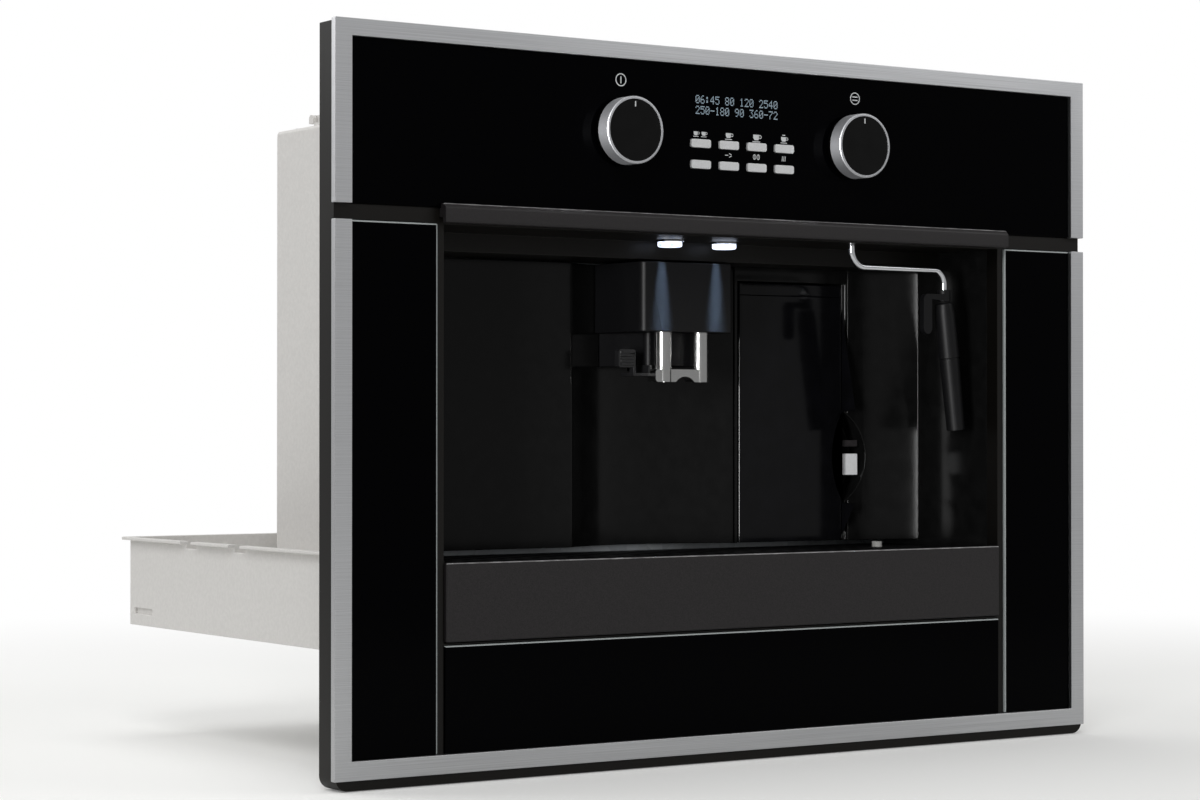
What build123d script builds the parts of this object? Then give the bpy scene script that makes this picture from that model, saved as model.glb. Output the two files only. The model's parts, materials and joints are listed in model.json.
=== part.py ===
from build123d import *
import os
from math import cos, radians, sin, sqrt, tan

# Built-in coffee machine, in millimetres.
# Origin: bottom centre of the front moulding's rear face, the plane that meets the cabinet's edges.
# +X is right as seen from the front, +Y goes into the cabinet, +Z is up, and the front faces -Y.

# ---- Fits that many pieces share ----
PANEL_GAP = 0.3            # between panels and pieces of different bodies
SEAT_GAP = 0.2             # under a piece that slides or turns on its seat
RUN_FIT = 0.05             # radial clearance of a shaft in its bore
PLATE = 2.0                # casing and chassis sheet
MOULD_WALL = 2.5           # wall of the moulded recess parts

# ---- Front surround ----
FRONT_WIDTH = 595.0
FRONT_HEIGHT = 455.0
FRONT_THICKNESS = 22.0
LIP_HEIGHT = 6.0           # black lip below the steel
STEEL_SHEET = 1.2
STEEL_SIDE_BORDER = 11.5
STEEL_TOP_BORDER = 10.3
STEEL_RETURN = 5.0
GLASS_SETBACK = 2.5        # the glass lies this far behind the steel face
GLASS_THICKNESS = 3.0
GLASS_REBATE = 1.5
GLASS_EDGE = 0.4
WEB = 2.5                  # moulding behind the glass
RIM = 4.0
RIB = 3.0
RIB_SETBACK = 1.0          # inner ribs stop short of the cabinet plane
PILLAR_CELLS = 5
MOULDING_CORNER = 8.0
PANEL_HEIGHT = 98.7        # glass above the black band, which parts the two steel trims
BAND_HEIGHT = 9.5

# ---- Handle strip ----
STRIP_LAP = 3.5            # of the strip past each side of the recess
STRIP_PROUD = 4.0
STRIP_LIP = 2.5
STRIP_BEVEL = 2.4
STRIP_GROOVE = 3.7
STRIP_SOFT = 1.0           # bevels of the lower front edge

# ---- Recess ----
PILLAR_GLASS = 60.0        # width of each pillar's glass
RECESS_DROP = 0.5          # the recess ends this far below the band
RECESS_BOTTOM = 84.0
PILLAR_RIB = 5.0           # moulding left between the recess and the pillar glass
LINER_START = -7.0
LINER_END = 104.0
STEP_DEPTH = 43.0          # where the ceiling steps down
STEP_DROP = 12.0
BACK_PLANE = 80.0          # front plane of the service door and the tank

# ---- Controls ----
KNOB_X = 91.7
KNOB_LIFT = 53.0           # of the knobs' axes above the band
KNOB_RADIUS = 21.25
KNOB_PROUD = 14.5
KNOB_STANDOFF = 0.8
KNOB_WALL = 2.4
KNOB_BAND = 10.4           # length of the chrome band
KNOB_BAND_WALL = 1.8
KNOB_BACK_STEP = 0.4       # the cap behind the band is this much smaller
KNOB_FACE_SETBACK = 0.5
KNOB_ROUND = 0.9
SHAFT_RADIUS = 3.0
BUSHING_RADIUS = 4.0
BUSHING_GAP = 1.0          # round the bushing in the glass
BUSHING_SETBACK = 0.5
ENCODER_HALF = 6.5
BUTTON_WIDTH = 15.5
BUTTON_HEIGHT = 5.4
BUTTON_PROUD = 1.1
BUTTON_TRAVEL = 1.0
BUTTON_PITCH_X = 22.3
BUTTON_PITCH_Z = 13.4
BUTTON_FIRST_X = -39.5     # left edge of the first column
BUTTON_LIFT = 32.8         # bottom edge of the lower row above the band
BUTTON_FLANGE = 1.4
FLANGE_THICKNESS = 1.0
SWITCH_HALF = 3.0          # square push switch behind each button
SWITCH_STEM = 1.0
SWITCH_STEM_RADIUS = 1.5
SWITCH_PLAY = 0.1
BUTTON_COLUMNS = 4
BUTTON_ROWS = 2
BOARD_HALF = 122.0
BOARD_LIFT = 25.0
BOARD_HEIGHT = 67.0
BOARD_THICKNESS = 1.6
BOARD_STANDOFF = 6.0
BOSS_RADIUS = 3.5
BOSS_INSET = 6.0
SCREEN_LEFT = -39.0
SCREEN_RIGHT = 30.0
SCREEN_LIFT = 67.0
SCREEN_HEIGHT = 14.0
SCREEN_BORDER = 3.0

# ---- Service door and its concave channel ----
DOOR_EDGE = 2.0            # between the recess wall and the door's hinge edge
DOOR_LAND = 2.0            # flat of the door right of its channel
DOOR_BOTTOM = 134.5
DOOR_TOP_GAP = 1.5
DOOR_THICKNESS = 12.0
DOOR_SKIN = 2.5
DOOR_CELLS = 3
CHANNEL_HALF = 66.0
CHANNEL_DEPTH = 20.0
HINGE_PIN_RADIUS = 2.5
HINGE_PIN_LENGTH = 12.0
HINGE_LEAF = 1.5
DOOR_JAMB = 1.3            # gap at the door's free edge
PIN_END_GAP = 1.0          # the pins stop short of the bores' ends
SLOT_END_GAP = 1.0

# ---- Spout ----
SPOUT_HALF = 37.0
SPOUT_FRONT = 37.0
SPOUT_HEAD_HEIGHT = 45.9
SPOUT_BODY_HEIGHT = 27.1
SPOUT_BODY_FRONT = 54.0
SPOUT_BODY_HALF = 33.0
SPOUT_CORNER = 5.0
SPOUT_TRAVEL = 35.0
CHANNEL_GAP = 0.35
TUBE_X = 15.0
TUBE_Y = 46.0
TUBE_RADIUS = 5.8
TUBE_BORE = 4.0
TUBE_LENGTH = 32.9
TUBE_SOCKET = 6.0          # the tubes' bore goes on this far into the head
BRIDGE_HEIGHT = 8.3
BRIDGE_THICKNESS = 9.0
ARCH_RADIUS = 9.5
ARCH_HEIGHT = 3.6
LUG_WIDTH = 3.0
LUG_CORNER = 2.0
TONGUE_HALF = 6.0
TONGUE_HEAD_HALF = 10.0
TONGUE_HEAD = 2.0
TONGUE_DROP = 4.5          # of the tongue's top below the head's
TONGUE_HEIGHT = 30.0
GRIP_LEFT = -52.0
GRIP_RIGHT = -38.5
GRIP_HEIGHT = 12.0
GRIP_DROP = 23.6           # of the tab's bottom below the head
GRIP_THICKNESS = 5.0
GRIP_RIBS = 5
GRIP_ARM = 2.0
GRIP_CORNER = 1.8
GRIP_RIB_INSET = 1.5
GRIP_RIB_PROUD = 0.8
GRIP_RIB_HALF = 0.5
GRIP_FOOT = 10.0           # the foot runs this far back under the body

# ---- Water tank ----
CHEEK_WIDTH = 57.0         # between the tank and the recess wall
TANK_BOTTOM = 134.5
TANK_TOP_GAP = 11.0        # under the lower ceiling
TANK_DEPTH = 150.0
TANK_WALL = 2.4
TANK_LID = 8.0
TANK_CORNER = 3.0
BAY_GAP = 4.5
HEADER_GAP = 1.2
SPIGOT_RADIUS = 6.0
SPIGOT_LENGTH = 9.0
SPIGOT_HEIGHT = 16.0
COUPLING_WALL = 3.5
HOLLOW_CENTRE_Z = 193.0
HOLLOW_HALF_HEIGHT = 31.0
HOLLOW_LEFT = 9.0          # reach of the finger hollow into the tank
HOLLOW_RIGHT = 18.0        # reach of the finger hollow into the cheek
HOLLOW_DEPTH = 17.0
GRIP_BAR_BOTTOM = 200.0
GRIP_BAR_HEIGHT = 4.6
GRIP_PAD_BOTTOM = 180.0
GRIP_PAD_HEIGHT = 15.0
GRIP_PAD_THICKNESS = 3.0
GRIP_SETBACK = 3.0         # behind the tank's front, and from the hollow's left end
GRIP_RIGHT_INSET = 5.5
GRIP_PAD_INSET = 2.0

# ---- Right cheek of the recess ----
CHEEK_CORNER_Y = 66.0
CHEEK_SAG = 3.5
CHEEK_ROUND = 3.0
CHEEK_SHIFT = 0.7          # of the back arc's middle, which keeps the wall even
CHEEK_INNER_CORNER = 1.0

# ---- Drip tray ----
TRAY_SIDE_GAP = 0.5
TRAY_FRONT_BOTTOM = 84.6
TRAY_FRONT_TOP = 132.2
TRAY_FRONT_FACE = -20.5
TRAY_FRONT_THICKNESS = 4.5
TRAY_INSET = 3.0           # of the tub from the recess wall
TRAY_WALL = 2.0
TRAY_HEIGHT = 43.0
TRAY_FRONT_CORNER = 1.0
TRAY_FRONT_BEVEL = 0.6
GRILLE_THICKNESS = 3.0
GRILLE_SLOT = 4.2
GRILLE_SLOT_PITCH = 13.0
GRILLE_BORDER = 9.0
GRILLE_BAR = 8.0           # solid bar between the two rows of slots
FLOAT_INSET = 46.0         # from the recess wall
FLOAT_Y = 56.0
FLOAT_STEM = 3.6
FLOAT_DISC = 11.0
FLOAT_DISC_TOP = 10.0      # above the tray's floor
FLOAT_PROUD = 3.6

# ---- Lamps ----
LAMP_X = 22.0
LAMP_Y = 28.0
LAMP_RADIUS = 8.0
LAMP_STEM = 6.0
LAMP_DROP = 4.5
LAMP_ROUND = 1.2
LAMP_CUT = 1.0             # overrun of the cutters in the ceiling

# ---- Steam wand ----
WAND_Y = -4.0
WAND_REACH = 87.0          # from the pivot to the far leg
WAND_SIDE = 30.0           # from the far leg to the recess wall
WAND_REACH_Y = 3.0
PIPE_RADIUS = 2.4
PIPE_DROP = 14.7           # of the pipe's run below the ceiling
PIPE_BEND_TOP = 11.5
PIPE_BEND_END = 10.0
WAND_BOSS_RADIUS = 7.0
WAND_BOSS_HEIGHT = 16.0
COLLAR_RADIUS = 4.6
COLLAR_DROP = 28.0         # of the collar's top below the ceiling
COLLAR_HEIGHT = 8.0
NOZZLE_TOP_RADIUS = 6.0
NOZZLE_TIP_RADIUS = 5.5
NOZZLE_LENGTH = 88.0
NOZZLE_LEAN = 7.0          # degrees from the vertical
NOZZLE_SEAM_DROP = 38.0    # of the ring seam below the collar
WAND_TAB_X = 16.0          # tab centre, left of the collar
WAND_TAB_WIDTH = 10.0
WAND_TAB_DROP = 3.0        # of the tab's top below the collar's
WAND_TAB_HEIGHT = 37.0
WAND_TAB_THICKNESS = 8.0
WAND_TAB_FLAT = 0.5        # flat left at the tab's ends
YOKE_INSET = 4.0
YOKE_LIFT = 1.0
YOKE_CORNER = 1.5
NOZZLE_BEVEL = 1.0
NOZZLE_SEAM = 0.5          # depth of the ring seam
NOZZLE_WALL = 1.5
NOZZLE_BORE = 12.0
VALVE_HALF = 12.0
VALVE_HEIGHT = 14.0
VALVE_FRONT = 8.0
VALVE_REAR = 16.0
VALVE_UNION_RADIUS = 4.0
VALVE_UNION_LENGTH = 14.0

# ---- Casing behind the front ----
BODY_LEFT = -150.0
BODY_RIGHT_GAP = 36.0      # from the tank to the casing's right side
REAR_SPACE = 105.0         # behind the tank, for the heater and the pump
BODY_DROP = 29.3           # of the casing's top below the front's
CARRIAGE_INSET = 40.0      # from the front's sides
CARRIAGE_TAIL = 18.0       # of the carriage behind the casing
CARRIAGE_BOTTOM = 76.0
CARRIAGE_TOP = 137.0
CARRIAGE_FLANGE = 4.5
CARRIAGE_CORNER = 6.0
RAIL_PLACES = (-180.0, -60.0, 60.0, 180.0)
RAIL_HALF = 6.0
SIDE_SLOT = (40.0, 12.0)   # ends of the slot in each side, ahead of the rear
SIDE_SLOT_HEIGHT = (8.0, 12.0)
NOTCH_PLACES = (180.0, 252.0)
NOTCH_HALF = 8.0
NOTCH_DEPTH = 5.0
RUNNER_INSET = 17.5        # of the runner holes from the carriage's sides
RUNNER_FRONT = 60.0
RUNNER_SPACING = 240.0
RUNNER_HOLE = 2.75
SHELF_Z = 138.0            # underside of the middle shelf
TOP_SHELF_DROP = 6.0       # of the top shelf's underside below the recess's top
LOUVRE_COUNT = 9
LOUVRE_PITCH = 9.0
LOUVRE_HEIGHT = 3.5
LOUVRE_HALF = 55.0
LOUVRE_CENTRE_X = 0.0
LOUVRE_BOTTOM = 190.0
CASING_STEP = 6.0          # the deep part of the sides starts this far above the ceiling
CASING_CORNER = 3.0
CUT_OVERRUN = 1.0

# ---- Beans and grinder ----
HOPPER_LEFT = -146.0
HOPPER_RIGHT = 152.0
BIN_RIGHT = 84.0
HOPPER_FRONT = 109.0
HOPPER_REAR = 295.7
HOPPER_FLANGE = 2.3
HOPPER_WALL = 2.5
HOPPER_CORNER = 12.0
HOPPER_SEAT = 3.0          # overlap of the flange on the casing
HOPPER_REAR_SEAT = 12.0
BIN_INSET = 4.0
BIN_REAR_INSET = 14.0
CHUTE_INSET = 3.0
CHUTE_REAR_INSET = 8.0
CHUTE_WALL = 2.0
BIN_STRAIGHT = 33.7        # the bin narrows this far below the casing's top
HOPPER_LID = 5.6
LID_BARREL = 3.0
EAR_WIDTH = 3.0
HINGE_REACH = 5.0          # length of each hinge pin inside its barrel
LID_CORNER = 2.0
LID_PIN = 1.5
FLAP_PIN = 0.8
FLAP_LEFT = 98.0
FLAP_RIGHT = 146.0
FLAP_FRONT = 150.0
FLAP_REAR = 205.0
FLAP_THICKNESS = 3.0
DIAL_X = 122.0
DIAL_Y = 252.0
DIAL_RADIUS = 14.0
DIAL_HEIGHT = 10.0
DIAL_GRIPS = 12
DIAL_GRIP_RADIUS = 1.6
DIAL_SHAFT = 6.0           # below the casing's top
GRINDER_X = -20.0
GRINDER_Y = 265.0
MOTOR_RADIUS = 27.0
HEAD_RADIUS = 37.0
HEAD_RISE = 15.0           # of the grinder's top above the top shelf
HEAD_HEIGHT = 83.0
NECK_RADIUS = 26.0
NECK_HEIGHT = 8.0
GRIND_CHUTE_HALF = 11.0
GRIND_CHUTE_HEIGHT = 18.0
GRIND_CHUTE_START = 34.0   # above the head's bottom
GRIND_CHUTE_END = 3.0      # above the brewing unit
GRIND_CHUTE_REACH = 10.0
BURR_TIP_RADIUS = 9.0
BURR_BASE_RADIUS = 22.0
BURR_DEPTH = 57.0          # of the burr's foot below the grinder's top
BURR_HEIGHT = 30.0
BURR_GAP = 0.6
BURR_SHAFT = 4.0
BURR_FLUTES = 10
BURR_SKIRT = 6.0
BURR_STEM = 18.0
BURR_STEM_BORE = 20.0
FLUTE_WIDTH = 3.0
FLUTE_LEAN = 32.0          # degrees

# ---- Brewing parts ----
BREW_LEFT = -76.0
BREW_RIGHT = 40.0
BREW_FRONT = 112.0
BREW_REAR = 226.0
BREW_WALL = 6.0
BREW_TOP = 272.0
BREW_WINDOWS = (150.0, 190.0, 230.0)
BREW_WINDOW_HEIGHT = 24.0
BREW_WINDOW_INSET = 18.0
FUNNEL_LOW = 18.0
FUNNEL_TOP = 23.0
CHAMBER_RADIUS = 27.0
CHAMBER_WALL = 4.0
CHAMBER_FLOOR = 12.0
SLIDER_FRONT = 20.0        # behind the chamber's axis
SLIDER_REAR = 9.0          # behind the screw's axis
SLIDER_HEIGHT = 22.0
CHAMBER_Y = 158.0
CARRIAGE_LOW = 160.0
CARRIAGE_HEIGHT = 56.0
PISTON_BOTTOM = 240.0      # the raised chamber closes round the piston
SCREW_RADIUS = 5.0
SCREW_Y = 208.0
SCREW_SEAT = 6.0
SCREW_SOCKET = 8.0
SCREW_TOP_GAP = 1.0
BIN_LEFT_GAP = 3.0
GROUNDS_RIGHT = -80.0
GROUNDS_REAR = 232.0
GROUNDS_HEIGHT = 105.0
GROUNDS_WALL = 2.0
GROUNDS_CORNER = 6.0
BOILER_RADIUS = 31.0
BOILER_HEIGHT = 95.0
BOILER_INSET = 80.0        # of its axis from the casing's right side
BOILER_DEPTH = 49.0        # of its axis ahead of the casing's rear
BOILER_BAND = 4.0
BOILER_BAND_HEIGHT = (14.0, 6.0)
UNION_OFFSET = 14.0
UNION_HEIGHT = 14.0
UNION_RADIUS = 4.5
PUMP_RADIUS = 21.0
PUMP_Z = 106.0
PUMP_DEPTH = 49.0          # of its axis ahead of the casing's rear
PUMP_INSET_RIGHT = 120.0   # of its left end from the casing's right side
PUMP_LENGTH = 84.0
PUMP_INSET = (18.0, 14.0)  # ends of the coil inside the pump's length
PUMP_TUBE_RADIUS = 9.0
SADDLE_INSET = 6.0
SADDLE_HALF = 16.0
GEARBOX_HEIGHT = 26.0
GEARBOX_HALF = 34.0
GEARBOX_FRONT = 24.0
GEARBOX_REAR = 20.0
GEAR_MOTOR_LENGTH = 42.0

# ---- Mains inlet with its switch ----
INLET_LEFT = -136.0
INLET_WIDTH = 62.0
INLET_BOTTOM = 160.0
INLET_HEIGHT = 32.0
INLET_DEPTH = 24.0
INLET_FLANGE = 3.0
INLET_LAP = 4.0
INLET_CORNER = 3.0
INLET_BACK = 6.0
SOCKET_LEFT = 4.0
SOCKET_WIDTH = 28.0
SOCKET_LOW = 7.0
SOCKET_HIGH = 6.0
PIN_PLACES = ((-7.0, -2.0), (0.0, 3.0), (7.0, -2.0))
PIN_HALF_WIDTH = 1.0
PIN_HALF_HEIGHT = 2.0
PIN_LENGTH = 15.0
ROCKER_WIDTH = 13.0
ROCKER_HEIGHT = 20.0
ROCKER_PIN = 1.5
ROCKER_PIN_DEPTH = 5.0     # ahead of the cover's rear face
ROCKER_INSET = 14.0
ROCKER_WELL = 14.0
ROCKER_END_GAP = 1.0
ROCKER_BACK = 8.0
ROCKER_LOW = 1.5           # of the pressed end below the module's face
ROCKER_DIP = 0.5
ROCKER_TILT = 2.0
ROCKER_TAPER = 3.0

# ---- Places that follow from the sizes above ----
HALF_WIDTH = FRONT_WIDTH / 2
Y_STEEL = -FRONT_THICKNESS
Y_GLASS = Y_STEEL + GLASS_SETBACK
Y_GLASS_BACK = Y_GLASS + GLASS_THICKNESS
Y_MOULDING = Y_GLASS_BACK - GLASS_REBATE
Y_WEB_BACK = Y_GLASS_BACK + WEB
Y_RIBS = -RIB_SETBACK
MOULDING_HALF = HALF_WIDTH - STEEL_SHEET
MOULDING_TOP = FRONT_HEIGHT - STEEL_SHEET
GLASS_HALF = HALF_WIDTH - STEEL_SIDE_BORDER
GLASS_TOP = FRONT_HEIGHT - STEEL_TOP_BORDER
GLASS_BOTTOM = LIP_HEIGHT + STEEL_SIDE_BORDER
BAND_TOP = GLASS_TOP - PANEL_HEIGHT
BAND_BOTTOM = BAND_TOP - BAND_HEIGHT
RECESS_HALF = GLASS_HALF - PILLAR_GLASS - PILLAR_RIB
RECESS_TOP = BAND_BOTTOM - RECESS_DROP
STRIP_HALF = RECESS_HALF + STRIP_LAP
KNOB_Z = BAND_TOP + KNOB_LIFT
BUTTON_LOW_Z = BAND_TOP + BUTTON_LIFT
BOARD_BOTTOM = BAND_TOP + BOARD_LIFT
BOARD_TOP = BOARD_BOTTOM + BOARD_HEIGHT
SCREEN_BOTTOM = BAND_TOP + SCREEN_LIFT
SCREEN_TOP = SCREEN_BOTTOM + SCREEN_HEIGHT
LINER_HALF = RECESS_HALF + MOULD_WALL
PILLAR_EDGE = RECESS_HALF + PILLAR_RIB
Y_BOARD = Y_WEB_BACK + BOARD_STANDOFF
LOW_CEILING = RECESS_TOP - STEP_DROP
DOOR_TOP = LOW_CEILING - DOOR_TOP_GAP
DOOR_LEFT = DOOR_EDGE - RECESS_HALF
DOOR_RIGHT = CHANNEL_HALF + DOOR_LAND
DOOR_BACK = BACK_PLANE + DOOR_THICKNESS
HINGE_X = DOOR_LEFT + DOOR_THICKNESS / 2
HINGE_Y = BACK_PLANE + DOOR_THICKNESS / 2
CHANNEL_RADIUS = (CHANNEL_HALF ** 2 + CHANNEL_DEPTH ** 2) / (2 * CHANNEL_DEPTH)
CHANNEL_CENTRE_Y = BACK_PLANE + CHANNEL_DEPTH - CHANNEL_RADIUS
CHANNEL_FLOOR = BACK_PLANE + CHANNEL_DEPTH
BULKHEAD_BACK = LINER_END + PLATE
SPOUT_TOP = DOOR_TOP
SPOUT_HEAD_BOTTOM = SPOUT_TOP - SPOUT_HEAD_HEIGHT
SPOUT_BODY_BOTTOM = SPOUT_HEAD_BOTTOM - SPOUT_BODY_HEIGHT
TUBE_BOTTOM = SPOUT_HEAD_BOTTOM - TUBE_LENGTH
TONGUE_TOP = SPOUT_TOP - TONGUE_DROP
GRIP_BOTTOM = SPOUT_HEAD_BOTTOM - GRIP_DROP
GRIP_TOP = GRIP_BOTTOM + GRIP_HEIGHT
TANK_LEFT = DOOR_RIGHT + DOOR_JAMB + MOULD_WALL + HEADER_GAP
TANK_RIGHT = RECESS_HALF - CHEEK_WIDTH
TANK_TOP = LOW_CEILING - TANK_TOP_GAP
CHEEK_LEFT = TANK_RIGHT + HEADER_GAP
BODY_RIGHT = TANK_RIGHT + BODY_RIGHT_GAP
BOILER_X = BODY_RIGHT - BOILER_INSET
PUMP_LEFT = BODY_RIGHT - PUMP_INSET_RIGHT
CHEEK_BOTTOM = DOOR_BOTTOM - PANEL_GAP
FLOOR_TOP = CARRIAGE_BOTTOM + PLATE
BASE_TOP = FLOOR_TOP + PLATE
SHELF_TOP = SHELF_Z + PLATE
BAY_LEFT = TANK_LEFT - BAY_GAP
BAY_RIGHT = TANK_RIGHT + BAY_GAP
BAY_FLOOR = TANK_BOTTOM - PANEL_GAP
BAY_TOP = TANK_TOP + BAY_GAP
BAY_REAR = BACK_PLANE + TANK_DEPTH + BAY_GAP
TRAY_FRONT_HALF = RECESS_HALF - TRAY_SIDE_GAP
TRAY_HALF = RECESS_HALF - TRAY_INSET
FLOAT_X = RECESS_HALF - FLOAT_INSET
TRAY_BOTTOM = RECESS_BOTTOM + PANEL_GAP
TRAY_REAR = LINER_END - MOULD_WALL
GRILLE_BOTTOM = TRAY_BOTTOM + TRAY_HEIGHT
GRILLE_TOP = GRILLE_BOTTOM + GRILLE_THICKNESS
WAND_REACH_X = RECESS_HALF - WAND_SIDE
WAND_X = WAND_REACH_X - WAND_REACH
PIPE_RUN_Z = RECESS_TOP - PIPE_DROP
COLLAR_TOP = RECESS_TOP - COLLAR_DROP
COLLAR_BOTTOM = COLLAR_TOP - COLLAR_HEIGHT
WAND_TAB_TOP = COLLAR_TOP - WAND_TAB_DROP
WAND_TAB_BOTTOM = WAND_TAB_TOP - WAND_TAB_HEIGHT
CARRIAGE_HALF = HALF_WIDTH - CARRIAGE_INSET
RUNNER_X = CARRIAGE_HALF - RUNNER_INSET
BODY_TOP = FRONT_HEIGHT - BODY_DROP
TOP_SHELF_Z = RECESS_TOP - TOP_SHELF_DROP
BIN_FLOOR = BODY_TOP - BIN_STRAIGHT
HEAD_TOP = TOP_SHELF_Z + HEAD_RISE
HEAD_BOTTOM = HEAD_TOP - HEAD_HEIGHT
BURR_BOTTOM = HEAD_TOP - BURR_DEPTH
GRINDER_AXIS = (GRINDER_X, GRINDER_Y)
TANK_CENTRE = (TANK_LEFT + TANK_RIGHT) / 2
TANK_REAR = BACK_PLANE + TANK_DEPTH
BODY_REAR = TANK_REAR + REAR_SPACE
CARRIAGE_REAR = BODY_REAR + CARRIAGE_TAIL
BOILER_Y = BODY_REAR - BOILER_DEPTH
PUMP_Y = BODY_REAR - PUMP_DEPTH
TANK_RIM = TANK_TOP - TANK_LID
SPIGOT_Z = TANK_BOTTOM + SPIGOT_HEIGHT
HOPPER_TOP = BODY_TOP + HOPPER_FLANGE
LID_LOW = HOPPER_TOP + SEAT_GAP
BIN_X = (HOPPER_LEFT + BIN_INSET, BIN_RIGHT)
SCREW_AXIS = (GRINDER_X, SCREW_Y)
CHAMBER_AXIS = (GRINDER_X, CHAMBER_Y)
VALVE_BOTTOM = RECESS_TOP + WAND_BOSS_HEIGHT
INLET_X = (INLET_LEFT, INLET_LEFT + INLET_WIDTH)
INLET_Z = (INLET_BOTTOM, INLET_BOTTOM + INLET_HEIGHT)
INLET_MIDDLE = INLET_BOTTOM + INLET_HEIGHT / 2
INLET_FACE = BODY_REAR + INLET_FLANGE
Y_ROCKER_PIN = BODY_REAR - ROCKER_PIN_DEPTH


# ---- Helpers ----
def mirrored(half):
    """Low and high ends of a width that is centred on x = 0."""
    return (-half, half)


def block(x, y, z):
    """Box between the low and high ends x, y and z."""
    box = Box(x[1] - x[0], y[1] - y[0], z[1] - z[0])
    return Pos((x[0] + x[1]) / 2, (y[0] + y[1]) / 2, (z[0] + z[1]) / 2) * box


def rect(x, z, corner=0.0):
    """Rectangle between the low and high ends of a sketch, with rounded corners if asked for."""
    width = x[1] - x[0]
    height = z[1] - z[0]
    shape = RectangleRounded(width, height, corner) if corner else Rectangle(width, height)
    return Pos((x[0] + x[1]) / 2, (z[0] + z[1]) / 2) * shape


def polygon(*points):
    """Face inside straight edges."""
    return make_face(Polyline(*points, close=True))


def front_slab(sketch, y):
    """Sketch drawn from the front in (x, z), solid between two depths."""
    return extrude(Plane.XZ.offset(-y[1]) * sketch, amount=y[1] - y[0])


def plan_slab(sketch, z):
    """Sketch drawn from above in (x, y), solid between two heights."""
    return extrude(Plane.XY.offset(z[0]) * sketch, amount=z[1] - z[0])


def side_slab(sketch, x):
    """Sketch drawn from the side in (y, z), solid between two widths."""
    return extrude(Plane.YZ.offset(x[0]) * sketch, amount=x[1] - x[0])


def rod_y(x, z, y, radius):
    """Round bar along Y."""
    return front_slab(Pos(x, z) * Circle(radius), y)


def rod_z(x, y, z, radius):
    """Round bar along Z."""
    return plan_slab(Pos(x, y) * Circle(radius), z)


def rod_x(y, z, x, radius):
    """Round bar along X."""
    return side_slab(Pos(y, z) * Circle(radius), x)


# ---- Front surround ----
def front_frame():
    """Moulded surround with glass pockets in front, ribbed cells behind and the recess opening."""
    outline = rect(mirrored(MOULDING_HALF), (0, MOULDING_TOP))
    outline = fillet(outline.vertices().sort_by(Axis.Y)[:2], MOULDING_CORNER)
    lip_face = outline & rect(mirrored(MOULDING_HALF), (0, LIP_HEIGHT))
    frame = front_slab(outline, (Y_MOULDING, 0))
    frame += front_slab(lip_face, (Y_STEEL + STEEL_SHEET, Y_MOULDING))
    pocket = (Y_MOULDING, Y_GLASS_BACK)
    frame -= front_slab(rect(mirrored(GLASS_HALF), (BAND_TOP, GLASS_TOP)), pocket)
    frame -= front_slab(rect(mirrored(RECESS_HALF), (GLASS_BOTTOM, RECESS_BOTTOM - MOULD_WALL / 2)), pocket)
    opening = (RECESS_BOTTOM, RECESS_TOP)
    frame -= front_slab(rect(mirrored(RECESS_HALF), opening), (Y_STEEL, 0))
    liner_seat = (RECESS_BOTTOM - MOULD_WALL, BAND_TOP)
    frame -= front_slab(rect(mirrored(LINER_HALF), liner_seat), (LINER_START, 0))
    frame -= front_slab(rect(mirrored(RECESS_HALF), (RECESS_TOP, BAND_TOP)), (Y_WEB_BACK, 0))
    top_cell = rect(mirrored(MOULDING_HALF - RIM), (BAND_TOP, MOULDING_TOP - RIM))
    frame -= front_slab(top_cell, (Y_WEB_BACK, 0))
    cell_height = (RECESS_TOP - GLASS_BOTTOM + RIB) / PILLAR_CELLS
    for side in (-1, 1):
        pillar = sorted((side * PILLAR_EDGE, side * GLASS_HALF))
        frame -= front_slab(rect(pillar, (GLASS_BOTTOM, BAND_BOTTOM)), pocket)
        cell_x = sorted((side * PILLAR_EDGE, side * (MOULDING_HALF - RIM)))
        for index in range(PILLAR_CELLS):
            low = GLASS_BOTTOM + index * cell_height
            frame -= front_slab(rect(cell_x, (low, low + cell_height - RIB)), (Y_WEB_BACK, 0))
    lower_cell_width = (2 * RECESS_HALF + RIB) / PILLAR_CELLS
    for index in range(PILLAR_CELLS):
        left = -RECESS_HALF + index * lower_cell_width
        cell = rect((left, left + lower_cell_width - RIB), (RIM, RECESS_BOTTOM - 2 * MOULD_WALL))
        frame -= front_slab(cell, (Y_WEB_BACK, 0))
    inner = rect(mirrored(MOULDING_HALF - RIM), (RIM, MOULDING_TOP - RIM))
    frame -= front_slab(inner, (Y_RIBS, 0))
    for edge in (BODY_LEFT, BODY_RIGHT - PLATE):
        frame += block((edge, edge + PLATE), (Y_WEB_BACK, Y_RIBS), (BAND_TOP, BODY_TOP))
    for x in mirrored(BOARD_HALF - BOSS_INSET):
        for z in (BOARD_BOTTOM + BOSS_INSET, BOARD_TOP - BOSS_INSET):
            frame += rod_y(x, z, (Y_WEB_BACK, Y_BOARD), BOSS_RADIUS)
    for cutter in control_cutouts(PANEL_GAP, BUSHING_RADIUS + PANEL_GAP, (Y_GLASS_BACK, Y_WEB_BACK)):
        frame -= cutter
    window = rect((SCREEN_LEFT, SCREEN_RIGHT), (SCREEN_BOTTOM, SCREEN_TOP))
    return frame - front_slab(window, (Y_GLASS_BACK, Y_WEB_BACK))


def button_corners():
    """Lower left corner of each button, row by row from the top."""
    rows = [BUTTON_LOW_Z + BUTTON_PITCH_Z * row for row in reversed(range(BUTTON_ROWS))]
    columns = [BUTTON_FIRST_X + BUTTON_PITCH_X * column for column in range(BUTTON_COLUMNS)]
    return [(x, z) for z in rows for x in columns]


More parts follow.
